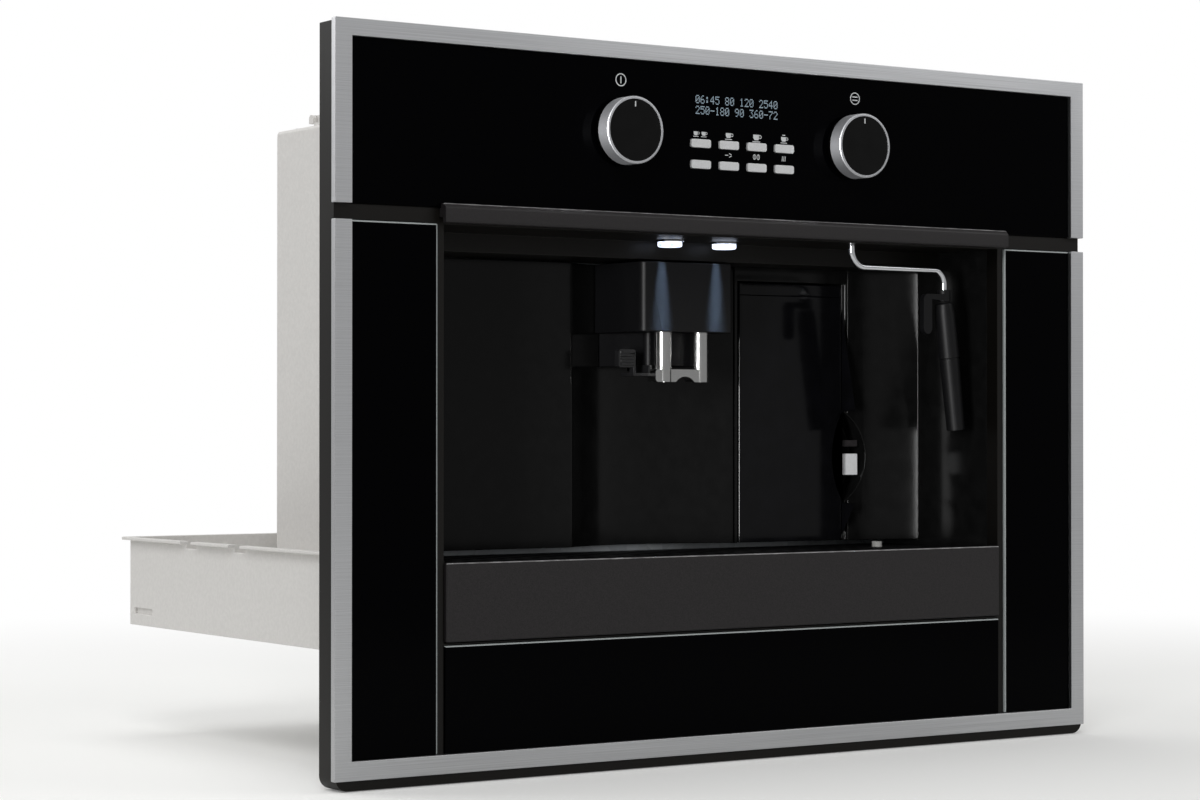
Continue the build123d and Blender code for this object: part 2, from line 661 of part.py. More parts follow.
def button_outline(corner, growth=0.0):
    """Outline of one button, grown by a clearance or a flange."""
    x, z = corner
    across = (x - growth, x + BUTTON_WIDTH + growth)
    return rect(across, (z - growth, z + BUTTON_HEIGHT + growth), BUTTON_HEIGHT / 4)


def control_cutouts(gap, hole_radius, y):
    """Cutters for the two knob holes and the button holes."""
    cutters = [rod_y(x, KNOB_Z, y, hole_radius) for x in mirrored(KNOB_X)]
    cutters += [front_slab(button_outline(corner, gap), y) for corner in button_corners()]
    return cutters


def steel_trim(face, wrap):
    """Folded steel trim: a hollow channel from its front face, and a return round the moulding's edge."""
    trim = front_slab(face, (Y_STEEL, Y_MOULDING))
    hollow = offset(face, amount=-STEEL_SHEET, kind=Kind.INTERSECTION)
    trim -= front_slab(hollow, (Y_STEEL + STEEL_SHEET, Y_MOULDING))
    return trim + front_slab(wrap, (Y_MOULDING, Y_STEEL + STEEL_RETURN))


def upper_steel_trim():
    """Trim round the top and the upper sides."""
    outer = rect(mirrored(HALF_WIDTH), (BAND_TOP, FRONT_HEIGHT))
    face = outer - rect(mirrored(GLASS_HALF), (0, GLASS_TOP))
    wrap = outer - rect(mirrored(MOULDING_HALF), (0, MOULDING_TOP))
    return steel_trim(face, wrap)


def lower_steel_trim():
    """Trim round the lower sides and the bottom."""
    outer = rect(mirrored(HALF_WIDTH), (LIP_HEIGHT, BAND_BOTTOM))
    face = outer - rect(mirrored(GLASS_HALF), (GLASS_BOTTOM, FRONT_HEIGHT))
    wrap = outer - rect(mirrored(MOULDING_HALF), (0, FRONT_HEIGHT))
    return steel_trim(face, wrap)


def glass_panel(x, z):
    """Glass sheet in its rebate, its front edges ground to a small bevel."""
    across = (x[0] + PANEL_GAP, x[1] - PANEL_GAP)
    panel = front_slab(rect(across, (z[0] + PANEL_GAP, z[1] - PANEL_GAP)), (Y_GLASS, Y_GLASS_BACK))
    front_edges = panel.faces().sort_by(Axis.Y)[0].edges()
    return chamfer(front_edges, GLASS_EDGE)


def control_glass():
    """Upper glass with holes for the knobs and the buttons."""
    panel = glass_panel(mirrored(GLASS_HALF), (BAND_TOP, GLASS_TOP))
    through = (Y_STEEL, Y_MOULDING + GLASS_THICKNESS)
    for cutter in control_cutouts(PANEL_GAP, BUSHING_RADIUS + BUSHING_GAP, through):
        panel -= cutter
    return panel


def pillar_glasses():
    """The two tall glasses beside the recess."""
    height = (GLASS_BOTTOM, BAND_BOTTOM)
    left = glass_panel((-GLASS_HALF, -PILLAR_EDGE), height)
    right = glass_panel((PILLAR_EDGE, GLASS_HALF), height)
    return Compound(children=[left, right])


def lower_glass():
    """Wide glass below the drip tray."""
    return glass_panel(mirrored(RECESS_HALF), (GLASS_BOTTOM, RECESS_BOTTOM - MOULD_WALL / 2))


def handle_strip():
    """Pull strip over the recess, hooked over the glass's lower edge and grooved for the fingers."""
    front = Y_STEEL - STRIP_PROUD
    behind_lip = Y_GLASS - PANEL_GAP
    bottom = BAND_BOTTOM
    under_glass = BAND_TOP - PANEL_GAP
    groove = bottom + STRIP_GROOVE
    lip_top = BAND_TOP + STRIP_LIP
    profile = polygon(
        (front + STRIP_SOFT, bottom), (front, bottom + STRIP_SOFT), (front, BAND_TOP),
        (front + STRIP_BEVEL, lip_top), (behind_lip, lip_top), (behind_lip, under_glass),
        (Y_MOULDING, under_glass), (Y_MOULDING, groove), (Y_STEEL, groove), (Y_STEEL, bottom),
    )
    return side_slab(profile, mirrored(STRIP_HALF))


# ---- Controls ----
def control_board():
    """Circuit board on the moulding's bosses, with its display and a push switch behind each button."""
    board = block(mirrored(BOARD_HALF), (Y_BOARD, Y_BOARD + BOARD_THICKNESS), (BOARD_BOTTOM, BOARD_TOP))
    stem_front = Y_WEB_BACK + PANEL_GAP + FLANGE_THICKNESS + BUTTON_TRAVEL + SWITCH_PLAY
    stem_back = stem_front + SWITCH_STEM
    for x, z in button_corners():
        centre_x = x + BUTTON_WIDTH / 2
        centre_z = z + BUTTON_HEIGHT / 2
        switch = Pos(centre_x, centre_z) * Rectangle(2 * SWITCH_HALF, 2 * SWITCH_HALF)
        board += front_slab(switch, (stem_back, Y_BOARD))
        board += rod_y(centre_x, centre_z, (stem_front, stem_back), SWITCH_STEM_RADIUS)
    return Compound(children=[board, display_module()])


def display_module():
    """Display on the board, its screen in the web's window behind the glass."""
    frame_x = (SCREEN_LEFT - SCREEN_BORDER, SCREEN_RIGHT + SCREEN_BORDER)
    frame_z = (SCREEN_BOTTOM - SCREEN_BORDER, SCREEN_TOP + SCREEN_BORDER)
    module = block(frame_x, (Y_WEB_BACK, Y_BOARD), frame_z)
    screen_x = (SCREEN_LEFT + PANEL_GAP, SCREEN_RIGHT - PANEL_GAP)
    screen_z = (SCREEN_BOTTOM + PANEL_GAP, SCREEN_TOP - PANEL_GAP)
    return module + block(screen_x, (Y_GLASS_BACK, Y_WEB_BACK), screen_z)


def knob_encoders():
    """The two rotary encoders, each with a bushing that the knob's shaft runs in."""
    encoders = []
    for x in mirrored(KNOB_X):
        case = Pos(x, KNOB_Z) * Rectangle(2 * ENCODER_HALF, 2 * ENCODER_HALF)
        body = front_slab(case, (Y_WEB_BACK, Y_BOARD))
        body += rod_y(x, KNOB_Z, (Y_GLASS + BUSHING_SETBACK, Y_WEB_BACK), BUSHING_RADIUS)
        encoders.append(body - rod_y(x, KNOB_Z, (Y_STEEL, Y_BOARD), SHAFT_RADIUS + RUN_FIT))
    return Compound(children=encoders)


def knob_cap(x):
    """Knob with a hollow back, a shaft, and a shoulder for the chrome band."""
    back = Y_GLASS - KNOB_STANDOFF
    front = Y_GLASS - KNOB_PROUD
    shoulder = front + KNOB_BAND
    inner = KNOB_RADIUS - KNOB_BAND_WALL
    rear_edge = KNOB_RADIUS - KNOB_BACK_STEP
    hub = SHAFT_RADIUS + KNOB_WALL
    face = front + KNOB_FACE_SETBACK
    hollow = front + 2 * KNOB_WALL
    shaft_end = Y_BOARD - KNOB_WALL
    profile = polygon(
        (0, shaft_end), (SHAFT_RADIUS, shaft_end), (SHAFT_RADIUS, back), (hub, back),
        (hub, hollow), (inner - KNOB_WALL, hollow), (inner - KNOB_WALL, back),
        (rear_edge, back), (rear_edge, shoulder), (inner, shoulder), (inner, face), (0, face),
    )
    return Pos(x, 0, KNOB_Z) * revolve(profile, Axis.Y)


def knob_ring(x):
    """Chrome band round a knob, with a rounded front rim."""
    front = Y_GLASS - KNOB_PROUD
    shoulder = front + KNOB_BAND
    inner = KNOB_RADIUS - KNOB_BAND_WALL + RUN_FIT
    rim = (KNOB_RADIUS - KNOB_ROUND, front)
    side = (KNOB_RADIUS, front + KNOB_ROUND)
    outline = Polyline(rim, (inner, front), (inner, shoulder), (KNOB_RADIUS, shoulder), side)
    corner = RadiusArc(side, rim, KNOB_ROUND)
    return Pos(x, 0, KNOB_Z) * revolve(make_face(outline.edges() + corner.edges()), Axis.Y)


def button(corner):
    """One push button with the flange that keeps it behind the web."""
    flange_front = Y_WEB_BACK + PANEL_GAP
    cap = front_slab(button_outline(corner), (Y_GLASS - BUTTON_PROUD, flange_front))
    flange = button_outline(corner, BUTTON_FLANGE)
    return cap + front_slab(flange, (flange_front, flange_front + FLANGE_THICKNESS))


# ---- Recess ----
def cheek_profile():
    """Curved right cheek seen from above: a rounded jamb beside the tank and a shallow hollow sweep."""
    left = CHEEK_LEFT
    jamb = left + CHEEK_ROUND
    front_middle = ((jamb + RECESS_HALF) / 2, (BACK_PLANE + CHEEK_CORNER_Y) / 2 + CHEEK_SAG)
    back_middle = (front_middle[0] + CHEEK_SHIFT, front_middle[1] + MOULD_WALL)
    edges = Line((left, LINER_END), (left, BACK_PLANE + CHEEK_ROUND)).edges()
    edges += RadiusArc((left, BACK_PLANE + CHEEK_ROUND), (jamb, BACK_PLANE), CHEEK_ROUND).edges()
    edges += ThreePointArc((jamb, BACK_PLANE), front_middle, (RECESS_HALF, CHEEK_CORNER_Y)).edges()
    edges += Line((RECESS_HALF, CHEEK_CORNER_Y), (RECESS_HALF, CHEEK_CORNER_Y + MOULD_WALL)).edges()
    inner = left + MOULD_WALL
    back_start = (inner + CHEEK_INNER_CORNER, BACK_PLANE + MOULD_WALL)
    inner_end = (inner, BACK_PLANE + MOULD_WALL + CHEEK_INNER_CORNER)
    edges += ThreePointArc((RECESS_HALF, CHEEK_CORNER_Y + MOULD_WALL), back_middle, back_start).edges()
    edges += Polyline(back_start, inner_end, (inner, LINER_END), (left, LINER_END)).edges()
    return make_face(edges)


def hollow_half(edge_x, reach, growth=0.0):
    """Half of the finger hollow seen from the front: a bow from top to bottom of a straight edge."""
    top = (edge_x, HOLLOW_CENTRE_Z + HOLLOW_HALF_HEIGHT + growth)
    middle = (edge_x + reach, HOLLOW_CENTRE_Z)
    bottom = (edge_x, HOLLOW_CENTRE_Z - HOLLOW_HALF_HEIGHT - growth)
    return make_face(ThreePointArc(top, middle, bottom).edges() + Line(bottom, top).edges())


def recess_liner():
    """Moulded tub of the recess: floor, side walls, tank frame and the cheek with its finger hollow."""
    height = (RECESS_BOTTOM - MOULD_WALL, RECESS_TOP + MOULD_WALL)
    depth = (LINER_START, LINER_END)
    liner = block((-LINER_HALF, -RECESS_HALF), depth, height)
    liner += block((RECESS_HALF, LINER_HALF), depth, height)
    liner += block(mirrored(LINER_HALF), depth, (RECESS_BOTTOM - MOULD_WALL, RECESS_BOTTOM))
    liner += plan_slab(cheek_profile(), (CHEEK_BOTTOM, LOW_CEILING))
    jamb = DOOR_RIGHT + DOOR_JAMB
    header_bottom = TANK_TOP + HEADER_GAP
    liner += block((jamb, jamb + MOULD_WALL), (BACK_PLANE, LINER_END), (CHEEK_BOTTOM, LOW_CEILING))
    header_x = (jamb, CHEEK_LEFT + MOULD_WALL)
    liner += block(header_x, (BACK_PLANE, BACK_PLANE + MOULD_WALL), (header_bottom, LOW_CEILING))
    shell = front_slab(hollow_half(CHEEK_LEFT, HOLLOW_RIGHT + PLATE, PLATE),
                       (BACK_PLANE, BACK_PLANE + HOLLOW_DEPTH + PLATE))
    hollow = front_slab(hollow_half(CHEEK_LEFT, HOLLOW_RIGHT), (CHEEK_CORNER_Y, BACK_PLANE + HOLLOW_DEPTH))
    return liner + shell - hollow


def recess_ceiling():
    """Stepped ceiling plate with the lamp holes and the boss that the steam wand turns in."""
    low = LOW_CEILING
    top = RECESS_TOP
    behind_step = STEP_DEPTH + MOULD_WALL
    profile = polygon(
        (Y_WEB_BACK, top), (STEP_DEPTH, top), (STEP_DEPTH, low), (LINER_END, low),
        (LINER_END, low + MOULD_WALL), (behind_step, low + MOULD_WALL),
        (behind_step, top + MOULD_WALL), (Y_WEB_BACK, top + MOULD_WALL),
    )
    ceiling = side_slab(profile, mirrored(RECESS_HALF))
    hole_z = (top - LAMP_CUT, top + MOULD_WALL + LAMP_CUT)
    for x in mirrored(LAMP_X):
        ceiling -= rod_z(x, LAMP_Y, hole_z, LAMP_STEM + PANEL_GAP)
    ceiling += rod_z(WAND_X, WAND_Y, (top, top + WAND_BOSS_HEIGHT), WAND_BOSS_RADIUS)
    return ceiling - rod_z(WAND_X, WAND_Y, (top, top + WAND_BOSS_HEIGHT), PIPE_RADIUS + RUN_FIT)


def lamp_lenses():
    """The two round lamp lenses under the ceiling, each with its stem through the plate."""
    lenses = []
    for x in mirrored(LAMP_X):
        lens = rod_z(x, LAMP_Y, (RECESS_TOP - LAMP_DROP, RECESS_TOP), LAMP_RADIUS)
        lens = fillet(lens.faces().sort_by(Axis.Z)[0].edges(), LAMP_ROUND)
        lenses.append(lens + rod_z(x, LAMP_Y, (RECESS_TOP, RECESS_TOP + LAMP_DROP), LAMP_STEM))
    return Compound(children=lenses)


# ---- Service door ----
def channel_arc(growth, half):
    """Arc concentric with the door's channel, across plus and minus a half width."""
    radius = CHANNEL_RADIUS + growth
    depth = CHANNEL_CENTRE_Y + sqrt(radius ** 2 - half ** 2)
    return ThreePointArc((-half, depth), (0, CHANNEL_CENTRE_Y + radius), (half, depth))


def service_door():
    """Door with a flat panel, the concave channel for the spout, and a round hinge edge."""
    outer_radius = CHANNEL_RADIUS + DOOR_SKIN
    back_half = sqrt(outer_radius ** 2 - (DOOR_BACK - CHANNEL_CENTRE_Y) ** 2)
    edges = Line((HINGE_X, BACK_PLANE), (-CHANNEL_HALF, BACK_PLANE)).edges()
    edges += channel_arc(0, CHANNEL_HALF).edges()
    edges += Line((CHANNEL_HALF, BACK_PLANE), (DOOR_RIGHT, BACK_PLANE)).edges()
    edges += Line((DOOR_RIGHT, BACK_PLANE), (DOOR_RIGHT, DOOR_BACK)).edges()
    edges += Line((DOOR_RIGHT, DOOR_BACK), (back_half, DOOR_BACK)).edges()
    edges += channel_arc(DOOR_SKIN, back_half).edges()
    edges += Line((-back_half, DOOR_BACK), (HINGE_X, DOOR_BACK)).edges()
    edges += ThreePointArc((HINGE_X, DOOR_BACK), (DOOR_LEFT, HINGE_Y), (HINGE_X, BACK_PLANE)).edges()
    door = plan_slab(make_face(edges), (DOOR_BOTTOM, DOOR_TOP))
    cell_z = (DOOR_BOTTOM + DOOR_SKIN, DOOR_TOP - DOOR_SKIN)
    first = HINGE_X + DOOR_THICKNESS / 2
    cell_width = (-CHANNEL_HALF - 2 * DOOR_SKIN - first) / DOOR_CELLS
    for index in range(DOOR_CELLS):
        left = first + index * cell_width
        door -= block((left, left + cell_width - DOOR_SKIN), (BACK_PLANE + DOOR_SKIN, DOOR_BACK), cell_z)
    slot_bottom = TONGUE_TOP - TONGUE_HEIGHT - SPOUT_TRAVEL - SLOT_END_GAP
    slot_z = (slot_bottom, TONGUE_TOP + SLOT_END_GAP)
    door -= block(mirrored(TONGUE_HALF + CHANNEL_GAP), (DOOR_BACK, LINER_END), slot_z)
    bore = HINGE_PIN_RADIUS + RUN_FIT
    door -= rod_z(HINGE_X, HINGE_Y, (DOOR_BOTTOM, DOOR_BOTTOM + HINGE_PIN_LENGTH), bore)
    return door - rod_z(HINGE_X, HINGE_Y, (DOOR_TOP - HINGE_PIN_LENGTH, DOOR_TOP), bore)


def door_hinge_pins():
    """Lower pin on a leaf from the side wall, and upper pin with a washer from the ceiling."""
    leaf_top = DOOR_BOTTOM - SEAT_GAP
    reach = HINGE_X + DOOR_THICKNESS / 2
    lower = block((-RECESS_HALF, reach), (BACK_PLANE, DOOR_BACK), (leaf_top - HINGE_LEAF, leaf_top))
    reach_z = HINGE_PIN_LENGTH - PIN_END_GAP
    lower += rod_z(HINGE_X, HINGE_Y, (leaf_top, DOOR_BOTTOM + reach_z), HINGE_PIN_RADIUS)
    upper = rod_z(HINGE_X, HINGE_Y, (DOOR_TOP - reach_z, LOW_CEILING), HINGE_PIN_RADIUS)
    upper += rod_z(HINGE_X, HINGE_Y, (DOOR_TOP + SEAT_GAP, LOW_CEILING), 2 * HINGE_PIN_RADIUS)
    return Compound(children=[lower, upper])


# ---- Spout ----
def spout_plan(half, front):
    """Spout outline seen from above: straight front and sides, and a back that follows the channel."""
    radius = CHANNEL_RADIUS - CHANNEL_GAP
    depth = CHANNEL_CENTRE_Y + sqrt(radius ** 2 - half ** 2)
    edges = Polyline((-half, depth), (-half, front), (half, front), (half, depth)).edges()
    return make_face(edges + channel_arc(-CHANNEL_GAP, half).edges())


def spout_housing():
    """Head and lower body of the spout, with the headed tongue that slides in the door's slot."""
    head = plan_slab(spout_plan(SPOUT_HALF, SPOUT_FRONT), (SPOUT_HEAD_BOTTOM, SPOUT_TOP))
    front_corners = head.edges().filter_by(Axis.Z).sort_by(Axis.Y)[:2]
    head = fillet(front_corners, SPOUT_CORNER)
    body = plan_slab(spout_plan(SPOUT_BODY_HALF, SPOUT_BODY_FRONT), (SPOUT_BODY_BOTTOM, SPOUT_HEAD_BOTTOM))
    body_corners = body.edges().filter_by(Axis.Z).sort_by(Axis.Y)[:2]
    body = fillet(body_corners, SPOUT_CORNER)
    tongue_z = (TONGUE_TOP - TONGUE_HEIGHT, TONGUE_TOP)
    slot_back = CHANNEL_FLOOR + DOOR_SKIN + PANEL_GAP
    tongue = block(mirrored(TONGUE_HALF), (BACK_PLANE, slot_back), tongue_z)
    tongue += block(mirrored(TONGUE_HEAD_HALF), (slot_back, slot_back + TONGUE_HEAD), tongue_z)
    socket_z = (SPOUT_HEAD_BOTTOM, SPOUT_HEAD_BOTTOM + TUBE_SOCKET)
    sockets = [rod_z(x, TUBE_Y, socket_z, TUBE_BORE) for x in mirrored(TUBE_X)]
    return head + body + tongue - sockets


def spout_tubes():
    """Two coffee tubes joined near their lower ends by a bridge with an arch below."""
    height = (TUBE_BOTTOM, SPOUT_HEAD_BOTTOM)
    tubes = rod_z(-TUBE_X, TUBE_Y, height, TUBE_RADIUS) + rod_z(TUBE_X, TUBE_Y, height, TUBE_RADIUS)
    depth = (TUBE_Y - BRIDGE_THICKNESS / 2, TUBE_Y + BRIDGE_THICKNESS / 2)
    bridge_z = (TUBE_BOTTOM, TUBE_BOTTOM + BRIDGE_HEIGHT)
    tubes += block(mirrored(TUBE_X), depth, bridge_z)
    lug_x = (-TUBE_X - TUBE_RADIUS - LUG_WIDTH, -TUBE_X)
    tubes += front_slab(rect(lug_x, bridge_z, LUG_CORNER), depth)
    arch_centre = TUBE_BOTTOM + ARCH_HEIGHT - ARCH_RADIUS
    tubes -= rod_y(0, arch_centre, (TUBE_Y - TUBE_RADIUS, TUBE_Y + TUBE_RADIUS), ARCH_RADIUS)
    for x in mirrored(TUBE_X):
        tubes -= rod_z(x, TUBE_Y, height, TUBE_BORE)
    return tubes


def spout_grip():
    """Ribbed finger tab on a thin arm that hooks under the spout's lower body."""
    depth = (SPOUT_BODY_FRONT - GRIP_THICKNESS, SPOUT_BODY_FRONT)
    tab = front_slab(rect((GRIP_LEFT, GRIP_RIGHT), (GRIP_BOTTOM, GRIP_TOP), GRIP_CORNER), depth)
    pitch = (GRIP_TOP - GRIP_BOTTOM) / (GRIP_RIBS + 1)
    rib_x = (GRIP_LEFT + GRIP_RIB_INSET, GRIP_RIGHT - GRIP_RIB_INSET)
    for index in range(GRIP_RIBS):
        z = GRIP_BOTTOM + pitch * (index + 1)
        tab += block(rib_x, (depth[0] - GRIP_RIB_PROUD, depth[0]), (z - GRIP_RIB_HALF, z + GRIP_RIB_HALF))
    arm_z = SPOUT_BODY_BOTTOM - GRIP_ARM
    foot_right = -SPOUT_BODY_HALF + 1.5 * SPOUT_CORNER
    arm = front_slab(rect((GRIP_RIGHT - GRIP_ARM, GRIP_RIGHT), (arm_z, GRIP_TOP - GRIP_CORNER)), depth)
    foot_x = (GRIP_RIGHT - GRIP_ARM, foot_right)
    foot = block(foot_x, (depth[0], depth[1] + GRIP_FOOT), (arm_z, SPOUT_BODY_BOTTOM))
    return tab + arm + foot


# ---- Water tank ----
def tank_body():
    """Open-topped tank with the left half of the finger hollow and a spigot at the back."""
    plan = rect((TANK_LEFT, TANK_RIGHT), (BACK_PLANE, TANK_REAR), TANK_CORNER)
    inside_x = (TANK_LEFT + TANK_WALL, TANK_RIGHT - TANK_WALL)
    inside = rect(inside_x, (BACK_PLANE + TANK_WALL, TANK_REAR - TANK_WALL))
    tank = plan_slab(plan, (TANK_BOTTOM, TANK_RIM))
    tank -= plan_slab(inside, (TANK_BOTTOM + TANK_WALL, TANK_RIM))
    bowl = front_slab(hollow_half(TANK_RIGHT, -HOLLOW_LEFT - TANK_WALL, TANK_WALL),
                      (BACK_PLANE, BACK_PLANE + HOLLOW_DEPTH + TANK_WALL))
    tank += bowl
    tank -= front_slab(hollow_half(TANK_RIGHT, -HOLLOW_LEFT), (BACK_PLANE, BACK_PLANE + HOLLOW_DEPTH))
    spigot_end = TANK_REAR + SPIGOT_LENGTH
    tank += rod_y(TANK_CENTRE, SPIGOT_Z, (TANK_REAR - TANK_WALL / 2, spigot_end), SPIGOT_RADIUS)
    bore = (TANK_REAR - 2 * TANK_WALL, spigot_end)
    return tank - rod_y(TANK_CENTRE, SPIGOT_Z, bore, SPIGOT_RADIUS - PLATE)


def tank_lid():
    """Lid on the tank's rim, with a locating skirt inside it."""
    plan = rect((TANK_LEFT, TANK_RIGHT), (BACK_PLANE, TANK_REAR), TANK_CORNER)
    inset = TANK_WALL + PANEL_GAP
    skirt_x = (TANK_LEFT + inset, TANK_RIGHT - inset)
    skirt_y = (BACK_PLANE + inset, TANK_REAR - inset)
    inside_x = (skirt_x[0] + TANK_WALL, skirt_x[1] - TANK_WALL)
    inside_y = (skirt_y[0] + TANK_WALL, skirt_y[1] - TANK_WALL)
    skirt_low = TANK_RIM - TANK_WALL
    lid = plan_slab(plan, (TANK_RIM, TANK_TOP)) + block(skirt_x, skirt_y, (skirt_low, TANK_RIM))
    return lid - block(inside_x, inside_y, (skirt_low, TANK_TOP - TANK_WALL))


def tank_grip():
    """Finger grip in the hollow: a bar and a pad on a stem that is fixed to the tank."""
    left = TANK_RIGHT - HOLLOW_LEFT + GRIP_SETBACK
    right = CHEEK_LEFT + HOLLOW_RIGHT - GRIP_RIGHT_INSET
    front = BACK_PLANE + GRIP_SETBACK
    pad_y = (front, front + GRIP_PAD_THICKNESS)
    pad_left = left + GRIP_PAD_INSET
    bar_top = GRIP_BAR_BOTTOM + GRIP_BAR_HEIGHT
    pad = block((pad_left, right), pad_y, (GRIP_PAD_BOTTOM, GRIP_PAD_BOTTOM + GRIP_PAD_HEIGHT))
    bar = block((left, right), pad_y, (GRIP_BAR_BOTTOM, bar_top))
    stem_z = (GRIP_PAD_BOTTOM + GRIP_PAD_INSET, bar_top - 1)
    stem = block((pad_left, TANK_RIGHT - 1), (front + 1, BACK_PLANE + HOLLOW_DEPTH), stem_z)
    return pad + bar + stem


def tank_coupling():
    """Valve seat behind the tank bay that takes the tank's spigot."""
    seat = (BAY_REAR + PLATE, BAY_REAR + PLATE + SPIGOT_LENGTH)
    mouth = SPIGOT_RADIUS + PANEL_GAP
    coupling = rod_y(TANK_CENTRE, SPIGOT_Z, seat, mouth + COUPLING_WALL)
    return coupling - rod_y(TANK_CENTRE, SPIGOT_Z, (seat[0], seat[1] - PLATE), mouth)


# ---- Drip tray ----
def drip_tray():
    """Open tub under the grille."""
    outer_y = (TRAY_FRONT_FACE + TRAY_FRONT_THICKNESS, TRAY_REAR)
    tub = block(mirrored(TRAY_HALF), outer_y, (TRAY_BOTTOM, GRILLE_BOTTOM))
    inner_y = (outer_y[0] + TRAY_WALL, outer_y[1] - TRAY_WALL)
    return tub - block(mirrored(TRAY_HALF - TRAY_WALL), inner_y, (TRAY_BOTTOM + TRAY_WALL, GRILLE_BOTTOM))


def drip_tray_front():
    """Front panel of the tray with its softened edges."""
    outline = rect(mirrored(TRAY_FRONT_HALF), (TRAY_FRONT_BOTTOM, TRAY_FRONT_TOP), TRAY_FRONT_CORNER)
    panel = front_slab(outline, (TRAY_FRONT_FACE, TRAY_FRONT_FACE + TRAY_FRONT_THICKNESS))
    return chamfer(panel.faces().sort_by(Axis.Y)[0].edges(), TRAY_FRONT_BEVEL)


def drip_grille():
    """Slotted plate on the tray, with the hole for the float."""
    y = (TRAY_FRONT_FACE + TRAY_FRONT_THICKNESS, TRAY_REAR)
    plate = block(mirrored(TRAY_HALF), y, (GRILLE_BOTTOM, GRILLE_TOP))
    middle = (y[0] + y[1]) / 2
    front_row = (y[0] + GRILLE_BORDER, middle - GRILLE_BAR / 2)
    rear_row = (middle + GRILLE_BAR / 2, y[1] - GRILLE_BORDER)
    count = int((2 * TRAY_HALF - 2 * GRILLE_BORDER) / GRILLE_SLOT_PITCH)
    first = -GRILLE_SLOT_PITCH * (count - 1) / 2
    slots = []
    for index in range(count):
        x = first + index * GRILLE_SLOT_PITCH
        across = (x - GRILLE_SLOT / 2, x + GRILLE_SLOT / 2)
        for row in (front_row, rear_row):
            beside_float = abs(x - FLOAT_X) < GRILLE_SLOT_PITCH and row[0] < FLOAT_Y < row[1]
            near = FLOAT_Y + FLOAT_STEM + GRILLE_SLOT if beside_float else row[0]
            slots.append(block(across, (near, row[1]), (GRILLE_BOTTOM, GRILLE_TOP)))
    plate -= slots
    return plate - rod_z(FLOAT_X, FLOAT_Y, (GRILLE_BOTTOM, GRILLE_TOP), FLOAT_STEM + PANEL_GAP)


def tray_float():
    """Level float that rises through the grille when the tray is full."""
    floor = TRAY_BOTTOM + TRAY_WALL
    disc_top = floor + FLOAT_DISC_TOP
    disc = rod_z(FLOAT_X, FLOAT_Y, (floor + SEAT_GAP, disc_top), FLOAT_DISC)
    return disc + rod_z(FLOAT_X, FLOAT_Y, (disc_top, GRILLE_TOP + FLOAT_PROUD), FLOAT_STEM)


# ---- Steam wand ----
def wand_pipe():
    """Bent pipe: down from its boss, across under the ceiling, and down again to the collar."""
    start = (WAND_X, WAND_Y, RECESS_TOP + WAND_BOSS_HEIGHT)
    corner = (WAND_X, WAND_Y, PIPE_RUN_Z)
    far = (WAND_REACH_X, WAND_REACH_Y, PIPE_RUN_Z)
    end = (WAND_REACH_X, WAND_REACH_Y, COLLAR_TOP)
    path = FilletPolyline(start, corner, far, end, radius=[PIPE_BEND_TOP, PIPE_BEND_END])
    section = Plane(origin=start, z_dir=(0, 0, -1)) * Circle(PIPE_RADIUS)
    return sweep(section, path)


def wand_grip():
    """Collar on the pipe, with a shoulder and the finger tab hooked beside it."""
    x, y = WAND_REACH_X, WAND_REACH_Y
    collar = rod_z(x, y, (COLLAR_BOTTOM, COLLAR_TOP), COLLAR_RADIUS)
    depth = (y - WAND_TAB_THICKNESS / 2, y + WAND_TAB_THICKNESS / 2)
    tab_x = (x - WAND_TAB_X - WAND_TAB_WIDTH / 2, x - WAND_TAB_X + WAND_TAB_WIDTH / 2)
    tab_corner = WAND_TAB_WIDTH / 2 - WAND_TAB_FLAT
    tab = front_slab(rect(tab_x, (WAND_TAB_BOTTOM, WAND_TAB_TOP), tab_corner), depth)
    yoke_z = (COLLAR_BOTTOM + YOKE_LIFT, WAND_TAB_TOP)
    yoke = front_slab(rect((tab_x[0] + YOKE_INSET, x), yoke_z, YOKE_CORNER), depth)
    return collar + tab + yoke


def wand_nozzle():
    """Leaning frothing nozzle in two stages, open at the tip."""
    seam = -NOZZLE_SEAM_DROP
    under_seam = seam - 2 * NOZZLE_SEAM
    groove = NOZZLE_TOP_RADIUS - NOZZLE_SEAM
    bore = NOZZLE_TIP_RADIUS - NOZZLE_WALL
    bore_top = NOZZLE_BORE - NOZZLE_LENGTH
    profile = polygon(
        (0, 0), (NOZZLE_TOP_RADIUS - NOZZLE_BEVEL, 0), (NOZZLE_TOP_RADIUS, -NOZZLE_BEVEL),
        (NOZZLE_TOP_RADIUS + NOZZLE_SEAM / 2, seam), (groove, seam), (groove, under_seam),
        (NOZZLE_TOP_RADIUS, under_seam), (NOZZLE_TIP_RADIUS, -NOZZLE_LENGTH),
        (bore, -NOZZLE_LENGTH), (bore, bore_top), (0, bore_top),
    )
    nozzle = revolve(Plane.XZ * profile, Axis.Z)
    drop = NOZZLE_TOP_RADIUS * tan(radians(NOZZLE_LEAN))
    return Pos(WAND_REACH_X, WAND_REACH_Y, COLLAR_BOTTOM - drop) * Rot(0, -NOZZLE_LEAN, 0) * nozzle


def steam_connector():
    """Valve block above the wand's boss."""
    x = (WAND_X - VALVE_HALF, WAND_X + VALVE_HALF)
    rear = WAND_Y + VALVE_REAR
    valve = block(x, (WAND_Y - VALVE_FRONT, rear), (VALVE_BOTTOM, VALVE_BOTTOM + VALVE_HEIGHT))
    union_z = VALVE_BOTTOM + VALVE_HEIGHT / 2
    return valve + rod_y(WAND_X, union_z, (rear, rear + VALVE_UNION_LENGTH), VALVE_UNION_RADIUS)


